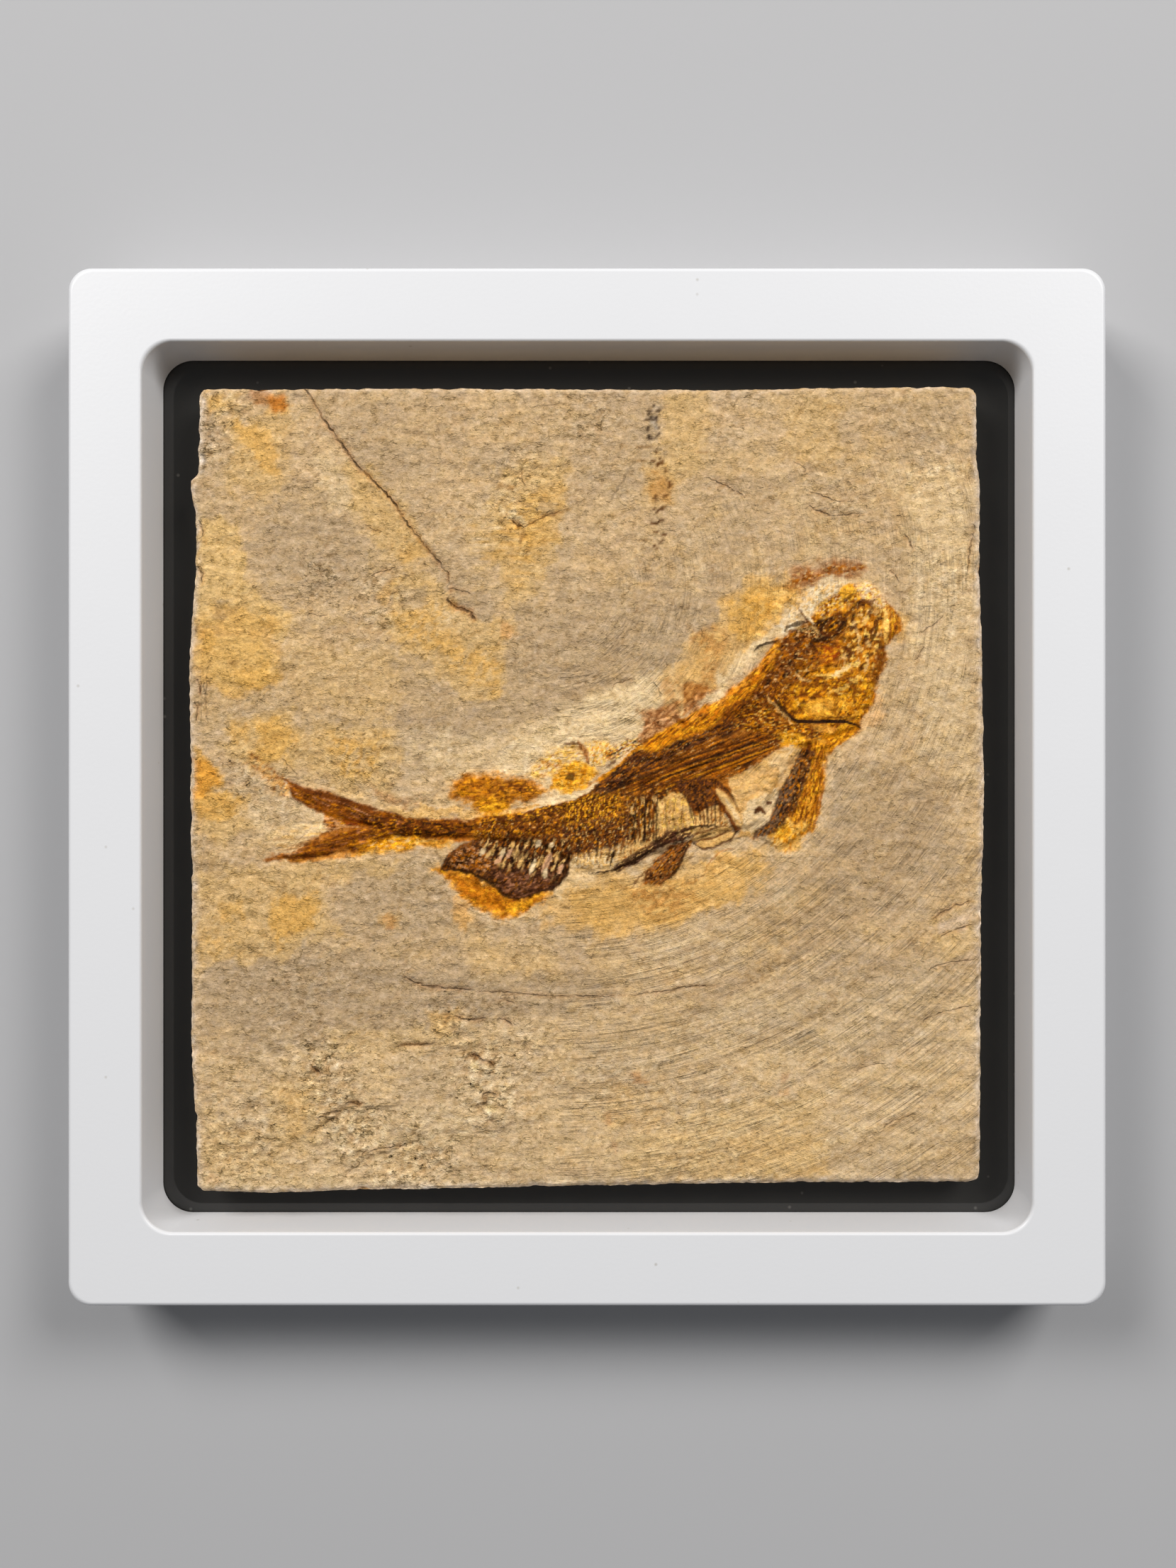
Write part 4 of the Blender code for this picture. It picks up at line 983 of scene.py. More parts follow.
    # fringe round the tail stalk
    patch(face, BUFF, at(-357, -37, -183, -37, -134, -22, -109, -37, -183, -57, -332, -57), 2.2, 0.8)
    fringe = at(-416, -119, -382, -99, -332, -86, -233, -86, -240, -106, -301, -108, -351, -112, -394, -121)
    patch(face, tone(228, 170, 66), fringe, 2.4, 0.85, 0.5)
    patch(face, AMBER, fringe, 1.6, 0.7, 0.5, (2.4, 0.8, 8, 0.5, 419))
    speckle(face, at(-590, 62, -516, 5, -523, -17, -545, -10, -580, 30), 432,
        (tone(232, 176, 100), 1.4, 0.7, 45, 0.55), (RUST, 0.8, 0.4, 40, 0.12))
    # orange wash under the anal fin
    wash = at(-273, -143, -208, -148, -171, -168, -144, -183, -121, -193, -88, -183, -64, -173, -72, -198,
        -104, -218, -131, -230, -161, -228, -193, -213, -218, -196, -233, -173)
    patch(face, OCHRE, wash, 3.6, 0.8, 0.6)
    patch(face, AMBER, wash, 2.2, 0.85, 0.5)
    patch(face, RUST, at(-228, -161, -171, -173, -144, -191, -121, -200, -139, -218, -171, -215, -203, -198,
        -223, -181), 2.2, 0.85, 0.5)
    speckle(face, wash, 430, (TAWNY, 1.8, 0.9, 12, 0.34), (HONEY, 1.4, 0.7, 10, 0.14))
    patch(face, HONEY, at(-144, -203, -103, -198, -74, -188, -107, -215, -136, -225), 1.5, 0.7)
    patch(face, HONEY, at(-233, -188, -208, -204, -198, -235, -221, -245, -233, -223), 2.5, 0.35)


def draw_fins(face):
    """Tail lobes and fins: a brown film with finer dark rays and pale slits."""
    # tail: film between the lobes, then the two dark lobes with their fibres
    patch(face, TAWNY, at(-380, 0, -350, 0, -320, -20, -290, -30, -330, -30, -370, -20), 3, 0.4)
    speckle(face, at(-550, -74, -493, -58, -407, -52, -389, -64, -407, -86, -493, -106, -550, -111), 995,
        (tone(240, 206, 150), 5, 0.6, 6, 0.5), (BUFF, 4, 0.5, 6, 0.3), soft=2.4)
    skin(face, TAWNY, at(-459, -49, -431, -44, -332, -57, -325, -84, -407, -89, -471, -91, -449, -79,
        -459, -67), 2.4, 0.8, 0.5, 1000, (UMBER, 1.6, 0.7, -6, 0.4), (AMBER, 3, 0.45, 2, 0.34),
        (BARK, 1.4, 0.5, -10, 0.26), (tone(214, 158, 104), 1.8, 0.45, 2, 0.26))
    speckle(face, at(-436, -67, -399, -64, -397, -81, -434, -81), 1006,
        (tone(220, 166, 108), 1.8, 0.45, 0, 0.5), soft=1.8)
    patch(face, PALE, at(-476, -54, -459, -59, -456, -74, -473, -77), 1.4, 0.6)
    upper = at(-526, 8, -469, -7, -416, -23, -372, -38, -325, -51, -320, -81, -369, -74, -416, -64,
        -454, -49, -493, -32, -516, -17)
    patch(face, TAWNY, upper, 1.8, 0.75, 0.3)
    skin(face, UMBER, upper, 1.6, 0.92, 0.15, 1010, (TAWNY, 3.6, 0.55, -22, 0.42),
        (BARK, 3.5, 0.6, -22, 0.42), (tone(186, 122, 78), 2.4, 0.45, -24, 0.22),
        (AMBER, 2.4, 0.35, -20, 0.12), (INK, 2.5, 0.45, -20, 0.16))
    stroke(face, BARK, at(-523, 7, -493, -6, -456, -16, -423, -24, -398, -33, -369, -39), 0.9, 0.85, 0.25,
        0, (0.1, 0.3))
    stroke(face, RUST, at(-486, -34, -461, -44, -436, -52), 1.3, 0.6, 1)
    stroke(face, tone(150, 60, 4), at(-426, -59, -407, -62, -392, -59), 1.1, 0.8, 0.8)
    lower = at(-558, -126, -528, -117, -501, -108, -476, -91, -461, -84, -439, -77, -394, -72, -325, -74,
        -307, -84, -351, -96, -394, -108, -444, -117, -477, -124, -518, -127)
    patch(face, AMBER, at(-526, -121, -493, -119, -444, -116, -407, -104, -379, -101, -409, -119,
        -431, -126, -493, -132, -526, -130), 1.6, 0.75, 0.6)
    patch(face, TAWNY, lower, 2.6, 0.7, 0.4)
    skin(face, UMBER, lower, 2.8, 0.92, 0.35, 1020, (TAWNY, 3.6, 0.55, 13, 0.42),
        (BARK, 3.5, 0.6, 14, 0.38), (tone(186, 122, 78), 1.8, 0.5, 14, 0.16), (AMBER, 2.4, 0.35, 12, 0.18),
        (INK, 2.5, 0.45, 14, 0.1))
    patch(face, BARK, at(-481, -114, -461, -101, -439, -86, -407, -81, -392, -91, -419, -101, -454, -115),
        1.6, 0.6, 0.5)
    stroke(face, BARK, at(-540, -124, -513, -124, -481, -120, -444, -115), 0.8, 0.75, 0.3, 0, (0.4, 0.3))
    stroke(face, TAWNY, at(-573, -129, -545, -125, -526, -122), 0.7, 0.45, 0.3, 0, (0.6, 0.2))
    for line in (at(-526, -109, -481, -96, -436, -81), at(-511, -101, -466, -86, -416, -72), at(-506, -110,
            -469, -99, -431, -89), at(-483, -91, -444, -78, -407, -69)):
        stroke(face, tone(160, 96, 30), line, 0.7, 0.5, 0.5, 0, (0.6, 0.2))
    patch(face, AMBER, at(-403, -104, -369, -94, -325, -85, -307, -86, -290, -94, -312, -106, -357, -106,
        -392, -116), 1.6, 0.8, 0.6)
    speckle(face, at(-403, -104, -369, -94, -325, -85, -290, -94, -312, -108, -357, -108), 1026,
        (HONEY, 2.6, 0.5, 14, 0.55), (BUFF, 1.4, 0.45, 14, 0.25))
    for line in (at(-555, -91, -518, -94, -473, -86), at(-548, -101, -506, -101, -481, -96), at(-560, -111,
            -526, -110, -501, -104)):
        stroke(face, tone(150, 104, 52), line, 0.32, 0.55, 0.5)
    speckle(face, at(-407, -47, -332, -52, -283, -57, -233, -62, -233, -86, -307, -91, -369, -81), 1028,
        (BARK, 2.2, 0.8, -10, 0.6), (INK, 1.4, 0.5, -6, 0.34), (AMBER, 0.8, 0.35, 0, 0.14))
    comb(face, [UMBER, TAWNY, BARK], at(-382, -49, -377, -72), at(-523, 8, -516, -17, -498, -32), 8, 0.24,
        0.6, 0.1, 455)
    comb(face, [UMBER, TAWNY, BARK], at(-377, -74, -369, -91), at(-501, -106, -548, -125, -493, -124), 8,
        0.24, 0.6, 0.1, 457)
    for line in (at(-592, 60, -560, 35, -518, 3), at(-607, 47, -565, 25, -523, -5)):
        stroke(face, TAWNY, line, 0.35, 0.45, 0.4)
    for line in (at(-590, 60, -573, 45), at(-565, 39, -545, 23), at(-538, 18, -522, 7), at(-548, -2,
            -543, -5), at(-560, 15, -555, 11), at(-535, -12, -529, -17)):
        stroke(face, UMBER, line, 0.4, 0.75, 0.5)

    # dorsal fin: a soft golden film, darker along its middle
    dorsal = at(-240, -15, -233, 5, -213, 18, -171, 20, -119, 15, -82, 5, -74, -5, -94, -22, -126, -24,
        -144, -37, -178, -47, -203, -29)
    patch(face, HONEY, dorsal, 5, 0.7, 0.4)
    patch(face, AMBER, dorsal, 3.6, 0.8, 0.3)
    skin(face, TAWNY, dorsal, 3, 0.6, 0.3, 1030, (AMBER, 1.6, 0.7, 4, 0.36), (UMBER, 1.4, 0.6, 6, 0.26),
        soft=3.6)
    speckle(face, at(-166, 8, -121, 13, -89, 5, -84, -5, -109, -15, -152, -10), 1040,
        (BARK, 1.4, 0.45, -4, 0.48), (INK, 0.8, 0.35, -4, 0.14))
    speckle(face, at(-203, -24, -144, -24, -136, -39, -183, -52), 1044, (HONEY, 1.2, 0.6, 10, 0.6))

    # anal fin: dark, cut by pale slanting slits between its rays
    skin(face, BARK, at(-255, -148, -245, -119, -223, -99, -159, -89, -59, -84, -32, -91, -25, -119,
        -35, -151, -57, -176, -90, -188, -124, -198, -144, -189, -159, -173, -178, -163, -203, -152,
        -228, -146), 0.9, 0.96, 0.25, 1050, (MAROON, 1.2, 0.45, 55, 0.32), (INK, 1.4, 0.45, 62, 0.42))
    speckle(face, at(-188, -91, -109, -91, -104, -126, -139, -143, -171, -131), 1060,
        (BUFF, 1.8, 0.7, 62, 0.3), (INK, 1.4, 0.5, 62, 0.3))
    speckle(face, at(-109, -91, -27, -91, -32, -129, -59, -161, -104, -163, -114, -129), 1070,
        (BUFF, 1.9, 0.6, 66, 0.3), (INK, 1.5, 0.5, 66, 0.34))
    speckle(face, at(-243, -111, -188, -99, -159, -134, -171, -151, -233, -139), 1080,
        (TAWNY, 1.4, 0.6, -25, 0.42), (tone(200, 146, 96), 1.2, 0.4, -25, 0.26))
    speckle(face, at(-171, -143, -59, -156, -72, -183, -124, -196, -151, -181), 1090,
        (tone(158, 104, 70), 1.2, 0.6, 20, 0.42), (PLUM, 1.3, 0.8, 0, 0.35))
    slits = (at(-176, -122, -162, -109), at(-152, -125, -144, -109), at(-141, -125, -133, -110),
        at(-126, -125, -121, -109), at(-90, -105, -84, -94), at(-73, -134, -63, -116), at(-88, -139,
        -78, -122), at(-100, -151, -92, -127), at(-78, -151, -66, -124), at(-57, -131, -48, -115),
        at(-74, -161, -72, -143), at(-161, -134, -150, -122), at(-109, -106, -104, -95), at(-64, -106,
        -59, -96), at(-52, -151, -45, -136), at(-118, -141, -112, -126), at(-188, -119, -178, -108))
    for count, line in enumerate(slits):
        stroke(face, (BUFF, CREAM, tone(216, 164, 120))[count % 3], line, 0.85, 0.85, 0.5, 0, (0.3, 0.3))
    comb(face, [INK], at(-233, -109, -35, -94), at(-248, -139, -64, -168), 13, 0.34, 0.7, 0.25, 479, 0.12)
    stroke(face, INK, at(-255, -147, -227, -145, -201, -152, -176, -165, -156, -178, -141, -192,
        -121, -197), 0.62, 0.85, 0.7, 0.1)
    stroke(face, INK, at(-121, -197, -89, -187, -57, -173, -36, -151, -32, -126), 0.55, 0.8, 0.7, 0.1)

    # pelvic fin
    skin(face, UMBER, at(183, -96, 169, -126, 151, -156, 126, -172, 97, -170, 99, -151, 126, -124,
        144, -101), 1, 0.9, 0.3, 1100, (INK, 1.8, 0.4, 50, 0.42), (TAWNY, 1.5, 0.35, 50, 0.32),
        (BUFF, 0.6, 0.3, 50, 0.1))
    stroke(face, INK, at(176, -101, 166, -126, 149, -156, 131, -168), 0.45, 0.75, 0.5, 0.08)
    stroke(face, BARK, at(102, -146, 87, -161, 79, -176), 0.35, 0.7, 0.5)

    # pectoral fin: an orange fan with a dark leading stripe
    fan = at(379, 82, 419, 75, 412, 37, 412, -12, 402, -47, 394, -79, 374, -86, 350, -99, 327, -94,
        317, -84, 335, -62, 359, -20)
    patch(face, GOLD, fan, 3.4, 0.5, 0.5)
    skin(face, AMBER, fan, 1.8, 0.92, 0.3, 1110, (TAWNY, 4, 0.6, 78, 0.5), (UMBER, 3.5, 0.5, 76, 0.4),
        (HONEY, 2.5, 0.4, 76, 0.24), (INK, 1.6, 0.35, 76, 0.1))
    tip = at(315, -67, 352, -57, 389, -64, 387, -89, 350, -111, 322, -106)
    patch(face, tone(232, 178, 84), tip, 3.4, 0.85, 0.6)
    patch(face, HONEY, at(325, -67, 350, -62, 357, -81, 337, -94, 325, -86), 1.6, 0.8, 0.5)
    speckle(face, tip, 1120, (AMBER, 1.2, 0.6, 70, 0.26), (UMBER, 0.8, 0.4, 60, 0.12), soft=2.2)
    skin(face, PLUM, at(377, 70, 397, 60, 387, 23, 374, -10, 362, -39, 342, -67, 317, -84, 285, -94,
        293, -81, 315, -59, 327, -27, 342, 5, 359, 37), 0.9, 0.85, 0.3, 1130, (INK, 1.4, 0.5, 64, 0.45),
        (TAWNY, 1, 0.4, 64, 0.26), (BUFF, 0.5, 0.3, 60, 0.08))
    stroke(face, TAWNY, at(409, 25, 412, -10, 402, -49, 395, -77), 0.35, 0.7, 0.5)


BODY_WHOLE = at(-357, -46, -317, -52, -280, -57, -208, -59, -159, -47, -88, -29, -35, -20, 15, 10, 89, 65,
    164, 107, 226, 137, 288, 189, 337, 230, 374, 254, 399, 137, 374, 72, 332, 67, 288, 37, 250, 15,
    253, -24, 228, -62, 164, -89, 64, -119, -35, -126, -159, -99, -270, -91, -351, -86)


def draw_body(face):
    """Trunk of the fish, from the stalk of the tail to the shoulder."""
    patch(face, TAWNY, BODY_WHOLE, 1.3, 0.95, 0.35)
    skin(face, UMBER, at(-362, -46, -317, -52, -275, -58, -188, -59, -131, -49, -129, -72, -188, -86,
        -270, -90, -362, -86), 1.2, 0.8, 0.25, 1200, (BARK, 1.8, 0.5, 0, 0.5), (TAWNY, 1.2, 0.4, 0, 0.28),
        (INK, 0.9, 0.4, 0, 0.2), (AMBER, 0.6, 0.3, 0, 0.1))
    # hind flank, all flecks
    speckle(face, at(-193, -57, -88, -29, -35, -20, 15, 8, 95, 60, 108, -24, 104, -99, 52, -119, -35, -121,
        -159, -99, -193, -89), 1210, (AMBER, 1.3, 0.7, 62, 0.42), (UMBER, 1.5, 0.8, 20, 0.46),
        (HONEY, 0.6, 0.35, 70, 0.16), (BARK, 1.2, 0.6, 45, 0.38), (INK, 0.7, 0.45, 40, 0.22),
        (BUFF, 0.45, 0.3, 0, 0.08))
    speckle(face, at(-159, -49, -59, -34, 15, -7, 22, -24, -59, -57, -159, -69), 1220,
        (BARK, 1, 0.45, 18, 0.5), (INK, 0.7, 0.4, 18, 0.22))
    speckle(face, at(-40, -24, 52, 0, 64, -62, -35, -77), 1230, (HONEY, 0.9, 0.32, 78, 0.34),
        (BARK, 0.8, 0.3, 78, 0.26))
    speckle(face, at(-154, -49, -47, -27, 17, -2, 22, -12, -47, -42, -151, -62), 1226,
        (HONEY, 1, 0.5, 18, 0.22))
    speckle(face, at(-159, -72, -35, -59, -35, -106, -144, -94), 1236, (BARK, 1.6, 0.9, 14, 0.4),
        (INK, 0.9, 0.5, 30, 0.16))
    speckle(face, at(-47, -69, 89, -44, 97, -101, 27, -119, -40, -119), 1240, (PLUM, 1, 0.7, 60, 0.55),
        (MAROON, 0.8, 0.5, 20, 0.3), (INK, 0.8, 0.4, 60, 0.26), (BUFF, 0.8, 0.35, 78, 0.14))
    speckle(face, at(-27, -124, 2, -114, 42, -106, 69, -99, 72, -119, 40, -142, -20, -147), 1250,
        (BUFF, 1.1, 0.6, 80, 0.8), (CREAM, 0.8, 0.5, 80, 0.3), (BARK, 0.9, 0.3, 76, 0.16))
    comb(face, [BARK, INK, UMBER], at(-27, -94, 64, -81), at(-27, -129, 55, -131), 9, 0.36, 0.85, 0.2, 533,
        0.08)

    # dark upper flank and the long fibres that fan back from the shoulder
    skin(face, PLUM, at(7, -7, 37, 23, 67, 52, 104, 82, 144, 97, 193, 102, 263, 127, 293, 139, 263, 95,
        201, 75, 139, 30, 77, 8, 35, -15), 1.2, 0.9, 0.35, 1260, (MAROON, 2.2, 0.5, 32, 0.34),
        (INK, 2.4, 0.55, 32, 0.42), (TAWNY, 1.6, 0.35, 32, 0.18), (BUFF, 0.4, 0.25, 30, 0.05))
    skin(face, MAROON, at(337, 99, 352, 82, 327, 60, 250, 15, 164, -7, 95, -17, 64, -7, 95, 15, 151, 52,
        213, 82), 1, 0.85, 0.3, 1270, (RUST, 6, 0.45, 26, 0.4), (BARK, 5, 0.45, 27, 0.45),
        (BUFF, 2, 0.28, 25, 0.1), (INK, 4, 0.35, 27, 0.24), (MAROON, 3, 0.4, 26, 0.2))
    comb(face, [INK, RUST, BARK, INK, AMBER], at(337, 99, 345, 72), at(64, 18, 126, -17), 12, 0.34, 0.85,
        0.15, 527, 0.1)
    comb(face, [INK, BARK], at(288, 102, 312, 87), at(-35, -39, 10, -37), 3, 0.45, 0.75, 0.15, 531, 0.1)
    speckle(face, at(89, 13, 164, -2, 171, -24, 89, -29), 1275, (INK, 1, 0.5, 20, 0.4),
        (BARK, 0.8, 0.4, 50, 0.4))
    skin(face, PLUM, at(151, 8, 193, 18, 231, 10, 245, -10, 231, -34, 201, -44, 171, -29), 1, 0.85, 0.4,
        1280, (INK, 0.9, 0.5, 20, 0.36), (MAROON, 0.7, 0.4, 60, 0.26), (TAWNY, 0.5, 0.3, 30, 0.1))

    # back edge: a bright border, streaked rusty brown towards the flank
    skin(face, AMBER, at(89, 67, 139, 102, 182, 129, 238, 158, 295, 209, 332, 257, 372, 261, 367, 223,
        325, 169, 290, 134, 226, 109, 164, 85, 120, 62), 1.2, 0.9, 0.3, 1290, (RUST, 2.6, 0.6, 40, 0.42),
        (HONEY, 2.2, 0.5, 40, 0.28), (UMBER, 2.4, 0.5, 40, 0.3), (BARK, 1.4, 0.4, 40, 0.16))
    skin(face, UMBER, at(367, 256, 387, 246, 359, 199, 325, 154, 293, 132, 250, 112, 213, 102, 238, 127,
        283, 164, 317, 199), 1.2, 0.75, 0.4, 1300, (BARK, 2, 0.6, 42, 0.5), (INK, 1.3, 0.45, 42, 0.28),
        (TAWNY, 1.2, 0.4, 42, 0.25))

    # ribs over the tan window of the belly, the belly's edge and the hip bones
    skin(face, BUFF, at(124, -24, 144, -10, 164, -12, 183, -39, 196, -62, 186, -84, 131, -91, 119, -62),
        0.9, 0.95, 0.3, 1310, (GOLD, 1.6, 0.5, 84, 0.3), (TAWNY, 0.8, 0.3, 84, 0.14))
    for loop in (at(193, -44, 226, -32, 245, -59, 253, -81, 226, -91, 193, -99, 183, -84), at(228, -2,
            250, -17, 268, -44, 270, -69, 258, -49, 243, -32), at(47, -121, 84, -91, 126, -77, 139, -89,
            89, -119, 64, -139)):
        skin(face, BUFF, loop, 0.9, 0.8, 0.3, 1320, (TAWNY, 0.8, 0.4, 70, 0.2), (BARK, 0.6, 0.3, 70, 0.12))
    speckle(face, at(72, -24, 126, -15, 126, -91, 77, -104), 1330, (BUFF, 2.2, 0.35, 84, 0.34),
        (INK, 1.8, 0.35, 84, 0.34))
    comb(face, [INK, BARK, INK], at(84, -20, 124, -10), at(82, -104, 121, -94), 6, 0.36, 0.9, 0.15, 539,
        0.16)
    comb(face, [BARK], at(134, -15, 169, -17), at(136, -77, 164, -74), 3, 0.26, 0.6, 0.15, 541, 0.06)
    comb(face, [INK, BARK], at(176, -22, 231, -20), at(186, -69, 231, -69), 8, 0.34, 0.9, 0.12, 543, 0.14)
    comb(face, [BARK, INK], at(52, -106, 126, -72), at(45, -126, 121, -91), 6, 0.34, 0.7, 0.2, 547, 0.08)
    skin(face, PLUM, at(45, -141, 69, -121, 107, -101, 136, -81, 156, -74, 156, -91, 121, -112, 82, -135,
        52, -151), 0.8, 0.9, 0.25, 1340, (INK, 1.6, 0.4, 32, 0.45), (BUFF, 1.4, 0.3, 32, 0.14))
    stroke(face, INK, at(2, -151, 25, -150, 47, -146, 74, -132, 109, -112, 146, -93, 178, -88), 0.55, 0.95,
        0.5, 0.14, (0.3, 0.1))
    stroke(face, INK, at(146, -84, 178, -72, 213, -67, 226, -69), 0.5, 0.92, 0.5, 0.12)
    stroke(face, INK, at(178, -96, 201, -108, 223, -99, 250, -88, 260, -77, 250, -57, 238, -37, 228, -24),
        0.55, 0.92, 0.5, 0.12)
    stroke(face, UMBER, at(223, -5, 243, -24, 258, -49, 273, -77), 2.6, 0.85, 0.4, 0.05, (0.2, 0.1))
    stroke(face, BUFF, at(226, -7, 245, -27, 259, -49, 271, -72), 1.5, 0.9, 0.4, 0.12, (0.2, 0.1))
    stroke(face, CREAM, at(240, -22, 255, -42, 266, -62), 0.7, 0.6, 0.4, 0.06)
    stroke(face, INK, at(238, 0, 258, -22, 268, -47, 276, -72, 270, -86, 258, -91), 0.5, 0.9, 0.5, 0.12)
    for line in (at(183, -94, 208, -84, 250, -72), at(193, -101, 218, -99, 255, -81)):
        stroke(face, BARK, line, 1.9, 0.85, 0.4, 0.05, (0.1, 0.1))
        stroke(face, BUFF, line, 1.1, 0.95, 0.4, 0.12, (0.1, 0.1))
    stroke(face, INK, at(193, -91, 208, -84, 223, -81), 0.36, 0.8, 0.5, 0.08)
    stroke(face, INK, at(50, -109, 42, -124, 40, -139), 0.5, 0.9, 0.5, 0.1)
    speckle(face, at(134, -77, 174, -69, 186, -86, 164, -104, 139, -99), 1350, (PLUM, 0.9, 0.5, 30, 0.6),
        (INK, 0.7, 0.4, 30, 0.35))

    # pale hollow behind the pectoral fin, with two dark spots
    patch(face, tone(220, 174, 108), PALE_HOLLOW, 1, 0.97, 0.25)
    patch(face, OCHRE, PALE_HOLLOW, 1.4, 0.35, 0.3, (1.6, 1, 50, 0.45, 1360))
    patch(face, PALE, at(270, -44, 312, -12, 337, -2, 320, -49, 310, -72, 283, -89, 268, -81), 2.2, 0.85)
    patch(face, PALE, at(332, 60, 364, 60, 354, 33, 337, 15, 327, 37), 2.2, 0.45)
    stroke(face, BARK, at(293, -44, 300, -39, 309, -44), 1, 0.95, 0.6, 0.1)
    stroke(face, BARK, at(312, -29, 320, -26), 0.75, 0.9, 0.6, 0.1)
    stroke(face, TAWNY, at(208, -141, 217, -126, 238, -111, 258, -106), 0.28, 0.6, 0.4)
    stroke(face, TAWNY, at(164, -173, 188, -166, 206, -151, 209, -141), 0.28, 0.45, 0.4)

    # the golden nodules between dorsal fin and back
    skin(face, BUFF, at(-102, 15, -94, 42, -64, 62, -25, 75, -7, 72, -10, 52, -40, 35, -64, 18), 1.6, 0.8,
        0.5, 1370, (GOLD, 1.4, 0.8, 20, 0.5), (CREAM, 1.2, 0.7, 20, 0.3), (TAWNY, 1.2, 0.35, 20, 0.16),
        soft=2.2)
    mass = at(-64, -5, -62, 20, -45, 35, -20, 45, 10, 37, 17, 18, -5, -2, -35, -10)
    patch(face, GOLD, mass, 2.6, 0.8, 0.5)
    skin(face, HONEY, mass, 1.6, 0.9, 0.4, 1380, (AMBER, 1.2, 0.8, 0, 0.34), (GOLD, 0.8, 0.5, 0, 0.24),
        (RUST, 0.7, 0.4, 0, 0.08))
    skin(face, GOLD, at(-2, 75, 37, 82, 47, 60, 27, 37, 2, 42), 1.3, 0.85, 0.4, 1390,
        (CREAM, 0.9, 0.5, 60, 0.4), (AMBER, 0.7, 0.4, 60, 0.25))
    stroke(face, INK, at(-37, 14, -30, 18, -24, 13), 1.1, 0.85, 0.6, 0.1)
    stroke(face, MAROON, at(-40, 20, -27, 23, -20, 13), 0.5, 0.5, 0.6)
    stroke(face, MAROON, at(-15, 80, -5, 65, 0, 42), 0.95, 0.85, 0.6)
    stroke(face, BARK, at(-42, 75, -27, 77, -12, 75), 0.55, 0.75, 0.6)
    stroke(face, TAWNY, at(-84, 50, -74, 42, -57, 37, -42, 40), 0.4, 0.7, 0.6)
    stroke(face, BARK, at(35, 35, 45, 40, 50, 47), 0.8, 0.75, 0.6)
    speckle(face, at(25, 60, 64, 82, 95, 85, 95, 67, 62, 55, 35, 45), 1400, (TAWNY, 1.2, 0.5, 20, 0.5),
        (INK, 1.4, 0.35, 22, 0.34), (GOLD, 0.9, 0.4, 20, 0.25))
    stroke(face, AMBER, at(12, 5, 40, 28, 69, 57, 94, 70), 0.9, 0.8, 0.6)
    stroke(face, CREAM, at(22, 18, 42, 35, 62, 52, 79, 65), 0.6, 0.75, 0.6)
    stroke(face, CREAM, at(-154, -47, -107, -37, -63, -24, -27, -17, 2, -5, 17, 8), 1.2, 0.85, 0.6, 0.05)
    stroke(face, HONEY, at(-171, -49, -129, -44, -84, -32), 0.8, 0.6, 0.6)


